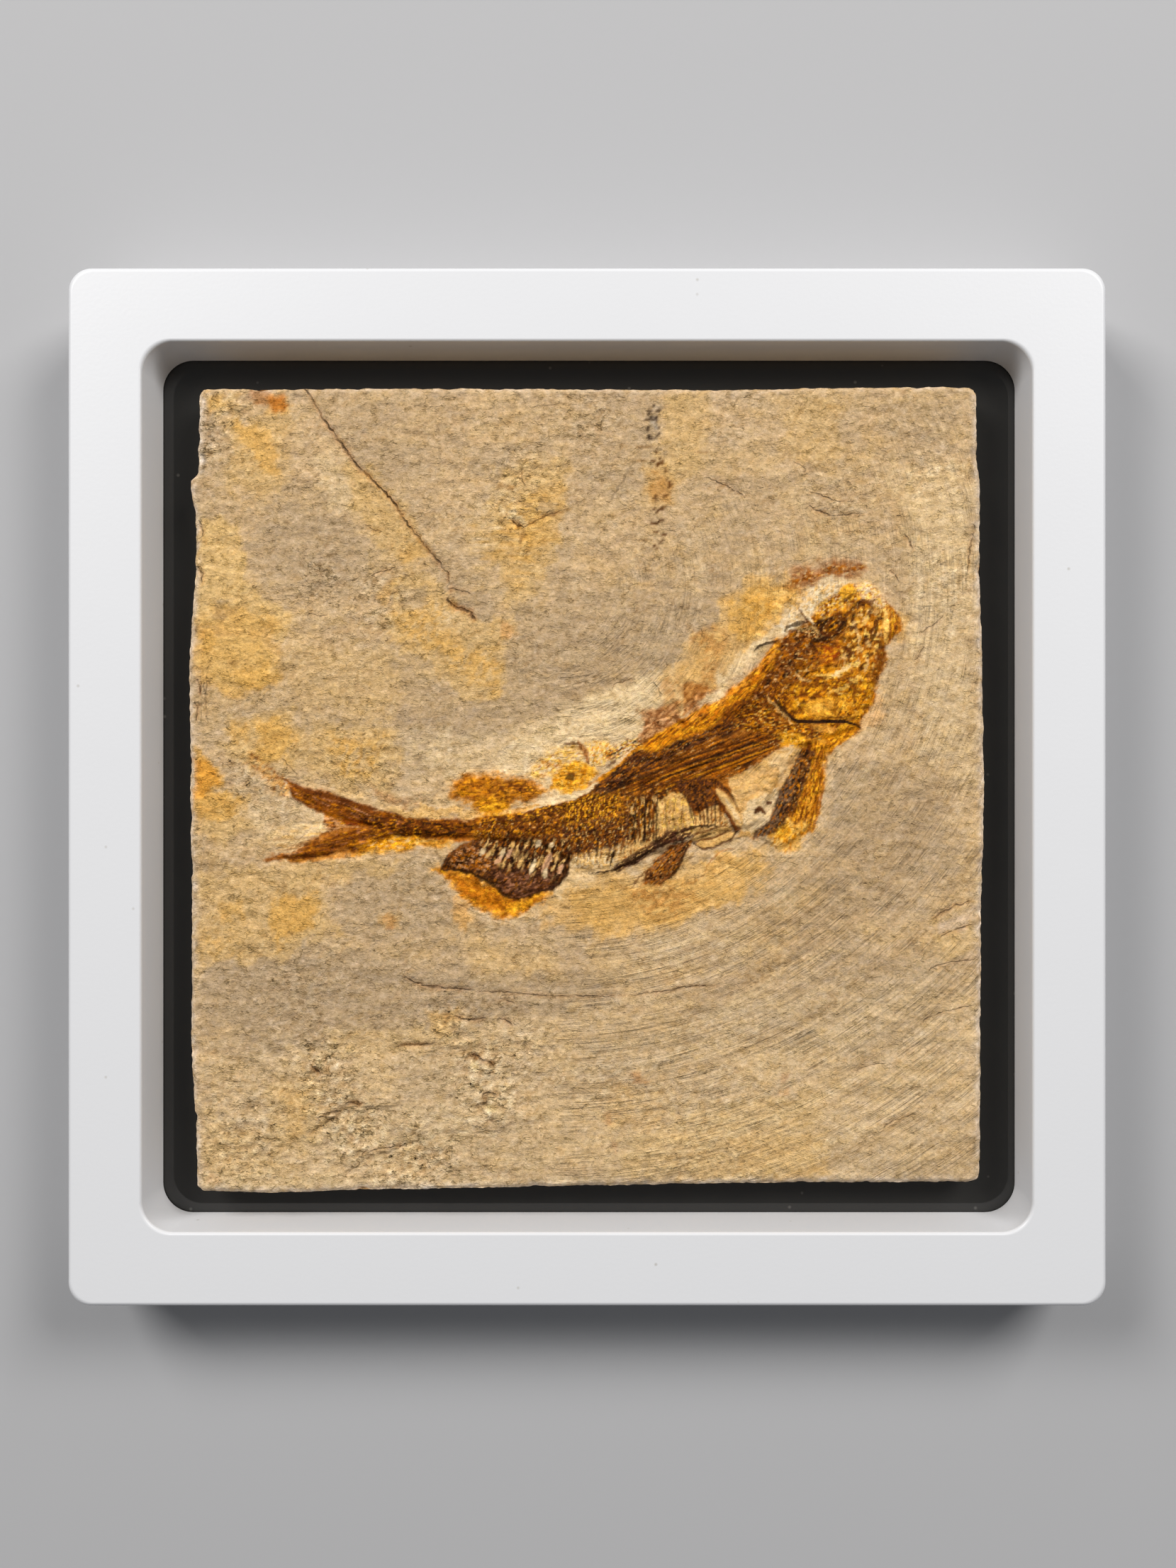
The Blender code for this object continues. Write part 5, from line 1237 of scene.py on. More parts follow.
def draw_head(face):
    """Skull, gill cover, snout and throat."""
    skin(face, TAWNY, at(335, 251, 350, 268, 374, 280, 399, 303, 419, 325, 456, 352, 493, 350, 521, 323,
        539, 304, 548, 288, 547, 273, 534, 261, 519, 247, 521, 226, 513, 201, 501, 179, 506, 156, 488, 137,
        478, 117, 477, 102, 449, 80, 421, 60, 387, 62, 362, 99, 325, 137, 317, 186), 1.2, 0.95, 0.3, 1500,
        (AMBER, 2.2, 1.4, 40, 0.5), (UMBER, 2, 1.1, 50, 0.44), (HONEY, 1.6, 0.9, 30, 0.22))
    # brow, eye and the dark bars of the skull
    skin(face, BARK, at(337, 253, 352, 273, 379, 285, 409, 278, 431, 261, 421, 246, 394, 238, 372, 223,
        347, 189, 320, 154, 293, 137, 278, 144, 310, 189, 332, 223), 1.1, 0.85, 0.4, 1510,
        (UMBER, 1.8, 0.9, 38, 0.42), (INK, 1.6, 0.9, 38, 0.34), (TAWNY, 1.4, 0.7, 40, 0.28),
        (tone(212, 158, 96), 0.9, 0.6, 20, 0.17))
    skin(face, BARK, at(394, 280, 407, 300, 426, 295, 449, 303, 476, 328, 486, 315, 469, 288, 441, 266,
        419, 258, 399, 263), 0.9, 0.9, 0.4, 1520, (INK, 1.8, 0.8, 38, 0.42), (AMBER, 1.4, 0.6, 38, 0.2),
        (BUFF, 0.6, 0.4, 30, 0.09))
    stroke(face, INK, at(389, 256, 404, 256, 419, 261), 0.85, 0.9, 0.5, 0.06)
    stroke(face, INK, at(434, 271, 451, 285, 469, 303), 0.7, 0.85, 0.5, 0.06)
    stroke(face, INK, at(342, 271, 350, 280, 364, 285, 387, 287), 0.6, 0.8, 0.6, 0.08)
    stroke(face, BUFF, at(362, 280, 377, 273, 394, 278), 0.5, 0.6, 0.6)
    speckle(face, at(372, 280, 394, 280, 407, 266, 394, 258, 377, 263), 1525, (BUFF, 0.6, 0.35, 30, 0.3),
        (INK, 0.6, 0.4, 30, 0.4))
    # crown: gold, then cream bumps towards the snout
    speckle(face, at(399, 305, 419, 328, 444, 347, 469, 355, 478, 340, 461, 323, 436, 308, 412, 295), 1530,
        (GOLD, 1, 0.6, 35, 0.45), (HONEY, 0.9, 0.6, 35, 0.36), (UMBER, 0.8, 0.4, 35, 0.26),
        (CREAM, 0.7, 0.4, 35, 0.2))
    patch(face, tone(240, 172, 44), at(439, 345, 456, 355, 469, 342, 461, 328, 443, 330), 1, 0.9, 0.3)
    stroke(face, BARK, at(439, 320, 454, 330, 466, 337), 0.6, 0.75, 0.6)
    skin(face, CREAM, at(466, 350, 488, 360, 508, 340, 523, 320, 521, 303, 503, 315, 481, 332), 1.6, 0.65,
        0.4, 1540, (GOLD, 1.1, 0.7, 0, 0.45), (CREAM, 0.8, 0.6, 0, 0.3), (TAWNY, 0.7, 0.4, 0, 0.26))
    stroke(face, BARK, at(478, 330, 491, 320, 501, 325), 0.75, 0.85, 0.6, 0.06)
    # side of the face: light flecks among brown ones
    skin(face, tone(220, 148, 44), at(456, 298, 478, 315, 506, 308, 518, 283, 516, 246, 518, 223, 511, 199,
        491, 179, 456, 186, 436, 206, 444, 241), 1, 0.7, 0.4, 1550, (TAWNY, 2.2, 1.1, 65, 0.42),
        (BUFF, 1.9, 1, 75, 0.3), (BARK, 2, 0.9, 60, 0.34), (GOLD, 1.2, 0.8, 60, 0.2),
        (INK, 1, 0.6, 50, 0.12))
    stroke(face, INK, at(506, 285, 501, 266, 493, 251), 0.65, 0.8, 0.6, 0.06)
    stroke(face, BARK, at(441, 248, 456, 238, 466, 243), 0.7, 0.85, 0.6, 0.06)
    speckle(face, at(399, 246, 426, 253, 444, 243, 441, 223, 421, 214, 399, 223), 1560,
        (tone(150, 60, 4), 1.1, 0.7, 20, 0.55), (AMBER, 0.8, 0.5, 20, 0.3))
    skin(face, tone(214, 140, 40), at(511, 308, 523, 315, 539, 303, 548, 285, 545, 271, 531, 258, 521, 253,
        513, 273), 0.9, 0.85, 0.3, 1570, (UMBER, 2.4, 0.6, 80, 0.4), (GOLD, 1.8, 0.6, 84, 0.22),
        (BARK, 1.2, 0.4, 80, 0.2))
    for line in (at(528, 305, 531, 288), at(529, 278, 528, 258), at(538, 290, 537, 268)):
        stroke(face, tone(136, 64, 12), line, 0.7, 0.65, 1.2)
    stroke(face, HONEY, at(534, 306, 533, 285, 532, 263), 0.7, 0.6, 1.2)
    stroke(face, tone(252, 196, 96), at(518, 308, 521, 283, 523, 253), 0.8, 0.9, 0.8, 0.1)
    stroke(face, TAWNY, at(540, 302, 548, 285, 543, 271), 0.6, 0.6, 0.8)
    stroke(face, TAWNY, at(508, 176, 496, 149, 478, 124), 0.9, 0.6, 0.8)
    patch(face, UMBER, at(503, 243, 518, 246, 522, 226, 516, 201, 501, 181, 496, 204), 1, 0.85, 0.4,
        (1.6, 0.7, 75, 0.8, 1577))
    # cheek and gill cover: bright, with cream ridges
    skin(face, AMBER, at(347, 186, 372, 204, 424, 209, 493, 199, 506, 156, 478, 122, 377, 119, 342, 149),
        1.4, 0.75, 0.4, 1580, (HONEY, 1.8, 1.1, 25, 0.36), (UMBER, 1.6, 1, 40, 0.4),
        (GOLD, 1, 0.6, 20, 0.1), (BARK, 1.2, 0.7, 50, 0.2))
    # dark hollow behind the eye
    skin(face, tone(110, 58, 16), at(337, 253, 364, 261, 394, 251, 407, 228, 402, 204, 382, 189, 354, 181,
        335, 156, 322, 164, 332, 211), 1.8, 0.55, 0.8, 1587, (INK, 1.2, 0.7, 40, 0.26),
        (TAWNY, 1.2, 0.7, 30, 0.26), (BUFF, 0.7, 0.5, 0, 0.12))
    stroke(face, GOLD, at(399, 194, 419, 192, 438, 199, 459, 210, 473, 216), 0.9, 0.8, 1.2, 0.08)
    stroke(face, CREAM, at(426, 197, 444, 202, 459, 210), 0.6, 0.6, 1.2, 0.05)
    stroke(face, GOLD, at(419, 163, 436, 169, 449, 175, 465, 181, 476, 190), 1, 0.75, 1.2, 0.08)
    stroke(face, BUFF, at(362, 201, 374, 189, 392, 184), 0.5, 0.55, 0.7)
    speckle(face, at(424, 189, 469, 204, 478, 196, 456, 179, 426, 171), 1585, (UMBER, 1, 0.4, 24, 0.45),
        (BARK, 0.8, 0.3, 24, 0.2))
    speckle(face, at(372, 139, 384, 153, 424, 156, 461, 164, 491, 179, 498, 156, 481, 133, 456, 121,
        412, 119, 379, 122), 1590, (HONEY, 1.6, 0.9, 10, 0.5), (UMBER, 1.3, 0.7, 20, 0.34),
        (GOLD, 1, 0.5, 10, 0.14))
    blob = at(377, 137, 385, 152, 407, 156, 434, 153, 456, 154, 464, 142, 449, 127, 412, 121, 384, 123)
    patch(face, TAWNY, blob, 1.6, 0.6, 0.2)
    patch(face, tone(228, 158, 44), blob, 1.1, 0.94, 0.3)
    patch(face, GOLD, at(387, 139, 399, 148, 426, 148, 436, 140, 412, 132, 394, 129), 1.6, 0.25, 0.3)
    speckle(face, at(431, 149, 488, 166, 493, 149, 461, 122, 431, 124), 1595, (AMBER, 1.3, 0.6, 60, 0.4),
        (UMBER, 0.9, 0.45, 60, 0.24))
    for line in (at(327, 154, 335, 171, 350, 184, 367, 184, 374, 171, 372, 156), at(342, 142, 345, 156,
            354, 166, 364, 161), at(372, 184, 389, 176, 412, 179, 431, 171), at(456, 184, 469, 166,
            466, 152, 478, 142)):
        stroke(face, UMBER, line, 0.7, 0.75, 0.8, 0.06)
    stroke(face, BUFF, at(332, 149, 338, 166, 352, 179), 0.5, 0.6, 0.6, 0.06)
    # bones below and in front of the gill cover
    speckle(face, at(310, 156, 332, 184, 352, 176, 350, 149, 369, 122, 354, 112, 325, 132), 1600,
        (UMBER, 1.2, 0.6, -50, 0.6), (BARK, 0.9, 0.4, -50, 0.36), (AMBER, 0.8, 0.4, -50, 0.26))
    speckle(face, at(285, 149, 310, 149, 342, 114, 399, 107, 426, 82, 412, 60, 382, 67, 337, 87, 258, 99,
        270, 127), 1610, (UMBER, 1.6, 0.6, 12, 0.55), (BARK, 1.2, 0.5, 10, 0.42), (INK, 0.9, 0.4, 10, 0.22),
        (AMBER, 1.4, 0.4, 10, 0.28), (GOLD, 0.8, 0.3, 8, 0.12))
    stroke(face, BUFF, at(312, 155, 325, 142, 342, 127, 357, 113), 0.65, 0.65, 1.1, 0.08)
    stroke(face, INK, at(325, 156, 337, 139, 352, 124, 367, 113), 0.75, 0.85, 0.5, 0.1)
    speckle(face, at(332, 92, 362, 95, 387, 77, 374, 62, 337, 72), 1620, (HONEY, 1.2, 0.7, 0, 0.7),
        (GOLD, 0.8, 0.4, 0, 0.2))
    patch(face, AMBER, at(412, 92, 449, 104, 478, 104, 454, 82, 421, 60, 404, 65), 1, 0.85, 0.3)
    speckle(face, at(412, 92, 449, 104, 478, 104, 454, 82, 421, 60), 1625, (HONEY, 2, 0.5, 38, 0.4),
        (UMBER, 1.6, 0.4, 38, 0.3))
    patch(face, tone(240, 168, 66), at(389, 104, 419, 108, 441, 104, 416, 95, 397, 96), 2, 0.75, 0.6)
    stroke(face, INK, at(352, 122, 367, 114, 394, 113, 421, 114, 449, 114, 469, 108, 478, 102), 0.66, 1,
        0.15, 0, (0.1, 0.25))
    stroke(face, BARK, at(399, 121, 426, 122, 461, 118), 0.3, 0.7, 0.5)
    # crest spine and needle
    stroke(face, INK, at(291, 238, 302, 247, 317, 252, 335, 254), 0.45, 0.9, 0.3, 0.12)
    stroke(face, BARK, at(367, 313, 376, 300, 384, 288), 0.45, 0.75, 0.3)
    stroke(face, CREAM, at(373, 313, 383, 299, 394, 284), 0.6, 0.95, 0.3, 0.16)
    stroke(face, BUFF, at(392, 280, 397, 273, 402, 268), 0.4, 0.6, 0.5)


def speckle_column(face):
    """A column of dark and rusty grains, with fine rungs, where a seam meets the face."""
    patch(face, DRAB, at(104, 667, 126, 667, 126, 608, 107, 608), 1.6, 0.7)
    patch(face, OCHRE, at(100, 560, 150, 560, 150, 490, 110, 490, 100, 520), 3.6, 0.4)
    patch(face, tone(190, 132, 62), at(114, 546, 136, 538, 146, 521, 139, 501, 119, 499,
        109, 521), 2.8, 0.55)
    patch(face, tone(168, 158, 142), at(107, 645, 121, 647, 121, 625, 108, 623), 1, 0.6)
    dark = at(115, 666, 124, 657, 108, 656, 112, 645, 120, 642, 104, 626, 125, 627,
        108, 611, 115, 606, 123, 616, 119, 645, 104, 640)
    rusty = at(121, 587, 115, 570, 125, 572, 133, 568, 124, 562, 138, 553, 141, 533,
        144, 525, 120, 504, 136, 509, 114, 485, 124, 482, 135, 487, 112, 460, 120, 458,
        128, 464, 120, 443, 133, 440, 128, 429, 119, 418, 126, 564, 131, 486, 144, 530)
    uneven = np.random.default_rng(88)
    for colour, places in ((tone(62, 44, 32), dark), (tone(92, 52, 16), rusty)):
        for x, y in places:
            reach = uneven.uniform(0.15, 0.40)
            grain = [(x - reach, y), (x + reach, y + uneven.uniform(-0.3, 0.3))]
            stroke(face, colour, grain, uneven.uniform(0.75, 1.05), uneven.uniform(0.75, 1), 0.6)
    for line in (at(84, 593, 104, 593, 124, 592), at(79, 570, 104, 570),
                 at(183, 585, 218, 583), at(64, 434, 112, 432)):
        stroke(face, tone(146, 108, 62), line, 0.35, 0.7, 0.4)


def draw_cracks(face):
    """Brown along the cracks and the steps of the bedding: dirty fill in them, and painted shade."""
    for line, depth, half_width in CRACKS:
        stroke(face, TAWNY, line, 2.2 * half_width, 0.5 * depth, 0.6)


def paint_stone(face):
    """Everything that colours the stone, from the rock up to the bones."""
    stain_rock(face)
    draw_cracks(face)
    draw_halo(face)
    draw_body(face)
    draw_head(face)
    draw_fins(face)
    speckle_column(face)


def carve_rock(face, pressed):
    """Relief in millimetres: bedding waves, pits, what stands proud, cracks and ledges.

    pressed is how far the rock gives way under the fine mesh of the fossil.
    """
    x, y, height = face["x"], face["y"], face["height"]
    rough = crumbled(face)
    places = list(zip(x.tolist(), y.tolist()))
    height += [WAVES * noise.noise(Vector((px / 30.0, py / 12.0, 3.7)))
               + RIPPLES * noise.noise(Vector((px / 9.0, py / 3.6, 8.1))) for px, py in places]
    height += BROKEN_LUMPS * rough * [noise.noise(Vector((px / 3.2, py / 2.6, 5.5)))
                                      for px, py in places]
    crumbs, flakes = broken_face(face)
    height += CRUMBS * rough * crumbs
    along, across, _ = flow(x, y)
    patchy = smooth(0.5 + rough_cloud(x / 11.0, y / 7.0, 805))
    height += SCORING * patchy * rough_cloud(along / 7.0, across / 1.5, 811)
    height += UNEVENNESS * rough_cloud(x / 1.9, y / 1.4, 821, 2)
    for edge, step in FLAKES:
        height += step * smooth((flakes - edge) / FLAKE_EDGE + 0.5)
    proud = np.zeros_like(x)
    for loop, rise, bank in RAISED:
        proud = np.maximum(proud, rise * smooth(depth_inside(x, y, loop) / bank))
    height += proud
    for line, drop, reach in LEDGES:
        gap, share, side = beside(x, y, line)
        past = (share < 0.001) | (share > 0.999)
        fade = np.exp(-gap / reach) * np.where(past, np.exp(-gap / 1.5), 1.0)
        height -= np.where(side < 0.0, drop * fade, 0.0)
    for middle_x, middle_y, radius, tall in LUMPS:
        height += tall * smooth(1.0 - np.hypot(x - middle_x, y - middle_y) / radius)
    for line, depth, half_width in CRACKS + [(line, depth, SCRAPE_WIDTH) for line, depth in SCRAPES]:
        chosen = near(face, line, 1.5)
        gap, share, _ = beside(x[chosen] + face["fine_x"][chosen],
                               y[chosen] + face["fine_y"][chosen], line)
        ends = np.minimum(1.0, 6.0 * np.minimum(share, 1.0 - share))
        height[chosen] -= depth * ends * np.clip(1.25 - gap / half_width, 0.0, 1.0)
    if pressed:
        height -= pressed * smooth((depth_inside(x, y, FOSSIL_EDGE) - 0.5) / 0.8)


def broken_face(face):
    """Noise that shapes the crumbs, and noise whose levels are the edges of the flakes."""
    x, y = face["x"], face["y"]
    return rough_cloud(x / 1.4, y / 1.2, 801, 2), rough_cloud(x / 5.0, y / 2.8, 831, 4)


def weather_and_shade(face, colour):
    """Colour follows the relief: low crumbs darker and browner, high ones lighter, streaks along the
    scoring; each flake step gets painted shadow at its foot and painted highlight just above.
    """
    crumbs, flakes = broken_face(face)
    tone_and_shade = (0.10 + 0.42 * crumbled(face)) * crumbs
    along, across, share = flow(face["x"], face["y"])
    tone_and_shade += share * (0.10 * rough_cloud(along / 60.0, across / 3.0, 851, 2)
                     + 0.05 * rough_cloud(along / 30.0, across / 0.9, 857, 1))
    shown = smooth(0.3 + rough_cloud(face["x"] / 7.0, face["y"] / 5.0, 841))
    # painted shadow at the foot of each flake step, painted highlight just above it
    for edge, step in FLAKES:
        level = (flakes - edge) / FLAKE_EDGE
        tone_and_shade += 2.4 * step * shown * (0.5 * np.exp(-(level - 0.7) ** 2) - np.exp(-(level + 0.7) ** 2))
    return colour * np.exp(tone_and_shade[:, None] * TONE_AND_SHADE_SHARES)


def crumbled(face):
    """How crumbled the rock is at each point, from 0 to 1."""
    total = np.zeros_like(face["x"])
    for middle_x, middle_y, radius, share in CRUMBLED:
        gap = np.hypot(face["x"] - middle_x, face["y"] - middle_y) / radius
        total = np.maximum(total, share * np.exp(-gap * gap))
    return total


def nearest_crack(face):
    """Signed distance to the nearest crack, and how strongly it shows."""
    signed, shown = np.ones_like(face["x"]), np.zeros_like(face["x"])
    for line, depth, half_width in CRACKS:
        chosen = near(face, line, 1.6)
        gap, share, side = beside(face["x"][chosen] + face["fine_x"][chosen] * 0.8,
                                  face["y"][chosen] + face["fine_y"][chosen] * 0.8, line)
        ends = np.clip(share / 0.04, 0.0, 1.0) * np.clip((1.0 - share) / 0.15, 0.0, 1.0)
        broken_up = 0.45 + 0.55 * smooth(0.5 + 2.0 * cloud(share * 14.0, share * 3.0, len(line)))
        strength = ends * min(1.0, 1.3 * depth + 0.2) * (1.0 - smooth(gap / 1.2 - 0.2)) * broken_up
        stronger = strength > shown[chosen]
        signed[chosen] = np.where(stronger, side * gap / half_width, signed[chosen])
        shown[chosen] = np.where(stronger, strength, shown[chosen])
    return signed, shown


def flow(x, y):
    """The way the bedding was scored: straight, but curling round the front of the fish."""
    out_x, out_y = x - EDDY[0], EDDY[1] - y
    radius = np.hypot(out_x, out_y)
    turn = np.arctan2(out_x, out_y)
    bent = (x > EDDY[0]) & (turn < 2.6)
    along = np.where(bent, EDDY[0] + 45.0 * turn, x)
    across = np.where(bent, EDDY[1] - radius, y)
    share = np.where(x > EDDY[0], 1.0 - smooth((turn - 1.6) / 0.8), 0.0)
    share *= smooth((radius - 6.0) / 8.0)
    for middle_x, middle_y, half_length, half_width, scored in SCORED:
        gap = ((x - middle_x) / half_length) ** 2 + ((y - middle_y) / half_width) ** 2
        share = np.maximum(share, scored * np.exp(-gap))
    return along, across, share


def mineral_grain():
    """Shared node group: the scored bedding, grains and flecks of the stone, with painted shade and
    highlight in its Shade.
    """
    group, given, result = node_group(
        "mineral_grain", {"Place": "Vector", "Flow": "Vector", "Crack": "Vector", "Film": "Float"},
        ("Shade", "Warmth", "Height"))
    place, run = given["Place"], given["Flow"]

    def clouds(socket, scale, detail, rough):
        """Noise over a place, drawn out by unequal scales."""
        drawn = add_node(group, "Mapping", {"Vector": socket, "Scale": scale}).outputs["Vector"]
        made = add_node(group, "TexNoise", {"Vector": drawn, "Scale": 1.0, "Detail": detail,
                                            "Roughness": rough})
        return Figure(group, made.outputs["Fac"])

    def parts(socket):
        """The three numbers held in a vector."""
        made = add_node(group, "SeparateXYZ", {"Vector": socket})
        return [Figure(group, part) for part in made.outputs]

    def size(figure):
        return figure.math("ABSOLUTE", figure)

    scoring = parts(run)[2]
    crossed = add_node(group, "Mix", {
        "Factor": scoring,
        "A": (clouds(place, (300.0, 1200.0, 900.0), 3.0, 0.6) - 0.5) * 0.7,
        "B": (clouds(run, (90.0, 1250.0, 0.0), 3.0, 0.6) - 0.5) * 1.6})
    patchy = clouds(place, (110.0, 170.0, 120.0), 3.0, 0.6).band(0.30, 0.65)
    scored = Figure(group, crossed.outputs["Result"]) * patchy
    smoother = 1.0 - scoring * 0.5
    scratch = size(clouds(run, (45.0, 800.0, 0.0), 3.0, 0.55) - 0.5)
    scratch = (1.0 - scratch.band(0.004, 0.028)) * (patchy * scoring)

    off_crack, shown, coarse = parts(given["Crack"])
    crack = (1.0 - size(off_crack).band(0.12, 0.60)) * shown
    grains = clouds(place, (1700.0, 1900.0, 1700.0), 5.0, 0.78) - 0.5
    lumps = clouds(place, (520.0, 640.0, 520.0), 4.0, 0.62)
    flecks = clouds(place, (800.0, 1000.0, 800.0), 4.0, 0.72)
    pits = clouds(place, (950.0, 1150.0, 950.0), 3.0, 0.6).band(0.60, 0.70) * coarse
    wrinkle = size(clouds(place, (330.0, 470.0, 360.0), 3.0, 0.55) - 0.5)
    wrinkle = (1.0 - wrinkle.band(0.0, 0.030)) * lumps.band(0.46, 0.60)

    steps = clouds(place, (170.0, 330.0, 200.0), 5.0, 0.62) * 6.0
    tread = steps.math("FRACT", steps)
    broken = lumps.band(0.44, 0.56) * (coarse + 0.20)
    foot = tread.band(0.66, 0.82) * (1.0 - tread.band(0.86, 0.98)) * broken * smoother
    lip_highlight = (1.0 - tread.band(0.02, 0.16)) * broken
    crumbs = flecks.band(0.57, 0.66) * coarse
    specks = clouds(place, (1150.0, 1350.0, 1150.0), 3.0, 0.6)
    dark_speck = specks.band(0.53, 0.62) * given["Film"]
    glint = specks.band(0.40, 0.32) * given["Film"]

    height = scored * 1.2 + grains * 0.75 + (lumps - 0.5) * 3.2 * (coarse + 0.15)
    height = height - pits * 0.7 - wrinkle * 0.22 - foot * 0.35 - scratch * 0.20 - crack
    # Shade multiplies the base colour: beside the grain's own tone it holds painted shade at the feet of
    # flake steps, in pits, wrinkles, scratches and cracks, and painted highlight on step lips and on glints
    # in the film; crumbs are made lighter.
    shade = scored * 0.6 + grains * 1.6 + (flecks - 0.5) * 1.05 * smoother
    shade = shade - scratch * 0.24 - foot * 0.60 + lip_highlight * 0.28 - pits * 0.45
    shade = shade + crumbs * 0.40 - dark_speck * 0.36 + glint * 0.60 + 1.27 - wrinkle * 0.34
    shade = shade * (1.0 - crack * 0.75)
    warmth = (lumps - 0.5) * 1.4 - (flecks - 0.5) * 1.6 + foot * 0.5 + 0.5
    feed(group, result, {"Shade": shade, "Warmth": warmth, "Height": height})
    return group


GRAIN = mineral_grain()
COOL_CAST = (0.98, 1.00, 1.12, 1.0)
WARM_CAST = (1.04, 0.98, 0.84, 1.0)
STONE_SPECULAR = 0.07
SHALE = {"dull": 0.92, "polish": 0.40, "depth": 0.40 * MM}


def mineral(name, dull, polish, depth):
    """Stone coloured by its stain; roughness falls from dull to polish with the film."""
    made = bpy.data.materials.new(name)
    tree, shader = nodes_of(made)
    stain, scored, crack = [add_node(tree, "Attribute", attribute_name=kept).outputs
                            for kept in ("stain", "scored", "crack")]
    inputs = {"Place": add_node(tree, "TexCoord").outputs["Object"], "Film": stain["Alpha"],
              "Flow": scored["Vector"], "Crack": crack["Vector"]}
    grain = add_node(tree, "Group", inputs, node_tree=GRAIN).outputs
    cast = add_node(tree, "Mix", {"Factor": grain["Warmth"], "A": COOL_CAST, "B": WARM_CAST},
                    data_type="RGBA").outputs["Result"]
    tinted = add_node(tree, "VectorMath", {0: stain["Color"], 1: cast}, operation="MULTIPLY")
    shaded = add_node(tree, "VectorMath", {"Vector": tinted.outputs["Vector"],
                                           "Scale": grain["Shade"]}, operation="SCALE")
    sheen = add_node(tree, "MapRange", {"Value": stain["Alpha"], "To Min": dull, "To Max": polish})
    bump = add_node(tree, "Bump", {"Strength": 1.0, "Distance": depth, "Height": grain["Height"]})
    feed(tree, shader, {"Base Color": shaded.outputs["Vector"], "Roughness": sheen.outputs["Result"],
                        "Specular IOR Level": STONE_SPECULAR, "Normal": bump.outputs["Normal"]})
    return made


def points_of(piece):
    """A piece's points as an array, in millimetres."""
    flat = np.empty(len(piece.data.vertices) * 3)
    piece.data.vertices.foreach_get("co", flat)
    return flat.reshape(-1, 3) / MM


def set_points(piece, points):
    piece.data.vertices.foreach_set("co", (points * MM).ravel())
    piece.data.update()


def draw_down(piece, levels, wander):
    """Draw a face's border down through levels, a little in and out, and close it flat."""
    bpy.ops.object.mode_set(mode="EDIT")
    bpy.ops.mesh.select_mode(type="EDGE")
    bpy.ops.mesh.select_all(action="DESELECT")
    bpy.ops.mesh.select_non_manifold()
    held = 0.0
    for count, (level, inset) in enumerate(levels):
        bpy.ops.mesh.extrude_edges_move()
        bpy.ops.object.mode_set(mode="OBJECT")
        chosen = np.empty(len(piece.data.vertices), bool)
        piece.data.vertices.foreach_get("select", chosen)
        points = points_of(piece)
        x, y = points[chosen, 0], points[chosen, 1]
        push = -(inset - held) / HALF_SLAB + wander * cloud(x / 1.7, y / 1.7, 900 + count) / HALF_SLAB
        held = inset
        points[chosen, 0] = x * (1.0 + push)
        points[chosen, 1] = y * (1.0 + push)
        points[chosen, 2] = level
        if count < len(levels) - 1:
            points[chosen, 2] += 0.22 * cloud(x / 5.0, y / 5.0, 950 + count)
        set_points(piece, points)
        bpy.ops.object.mode_set(mode="EDIT")
    bpy.ops.mesh.edge_face_add()
    bpy.ops.mesh.select_all(action="SELECT")
    bpy.ops.mesh.normals_make_consistent(inside=False)
    bpy.ops.object.mode_set(mode="OBJECT")


def wear_and_highlight_rim(face, points, gap):
    """Pale the arris of the face: wear and painted highlight, weaker along the top edge; leave broken dirty
    lines just behind it.
    """
    x, y = points[:len(gap), 0], points[:len(gap), 1]
    colour = face["colour"][:len(gap)]
    lumpy = 0.55 + 0.6 * cloud(x / 1.5, y / 1.5, 993)
    arris = np.where(y > TOP_RIM, 0.4, 1.0) * 1.7 * np.exp(-(gap / 0.85) ** 2) * lumpy
    colour += (ARRIS - colour) * np.clip(arris, 0.0, 0.90)[:, None]
    behind = np.exp(-((gap - 1.1 - 0.4 * cloud(x / 4.0, y / 4.0, 997)) / 0.30) ** 2)
    dirty = behind * smooth(1.4 * cloud(x / 2.2, y / 2.2, 999))
    colour *= 1.0 - 0.45 * dirty[:, None]


def keep(piece, name, *columns):
    """Write an attribute of a piece's points: three numbers, or a colour of four."""
    kind, form = ("FLOAT_COLOR", "color") if name == "stain" else ("FLOAT_VECTOR", "vector")
    kept = piece.data.attributes.new(name, kind, "POINT")
    kept.data.foreach_set(form, np.column_stack(columns).ravel())


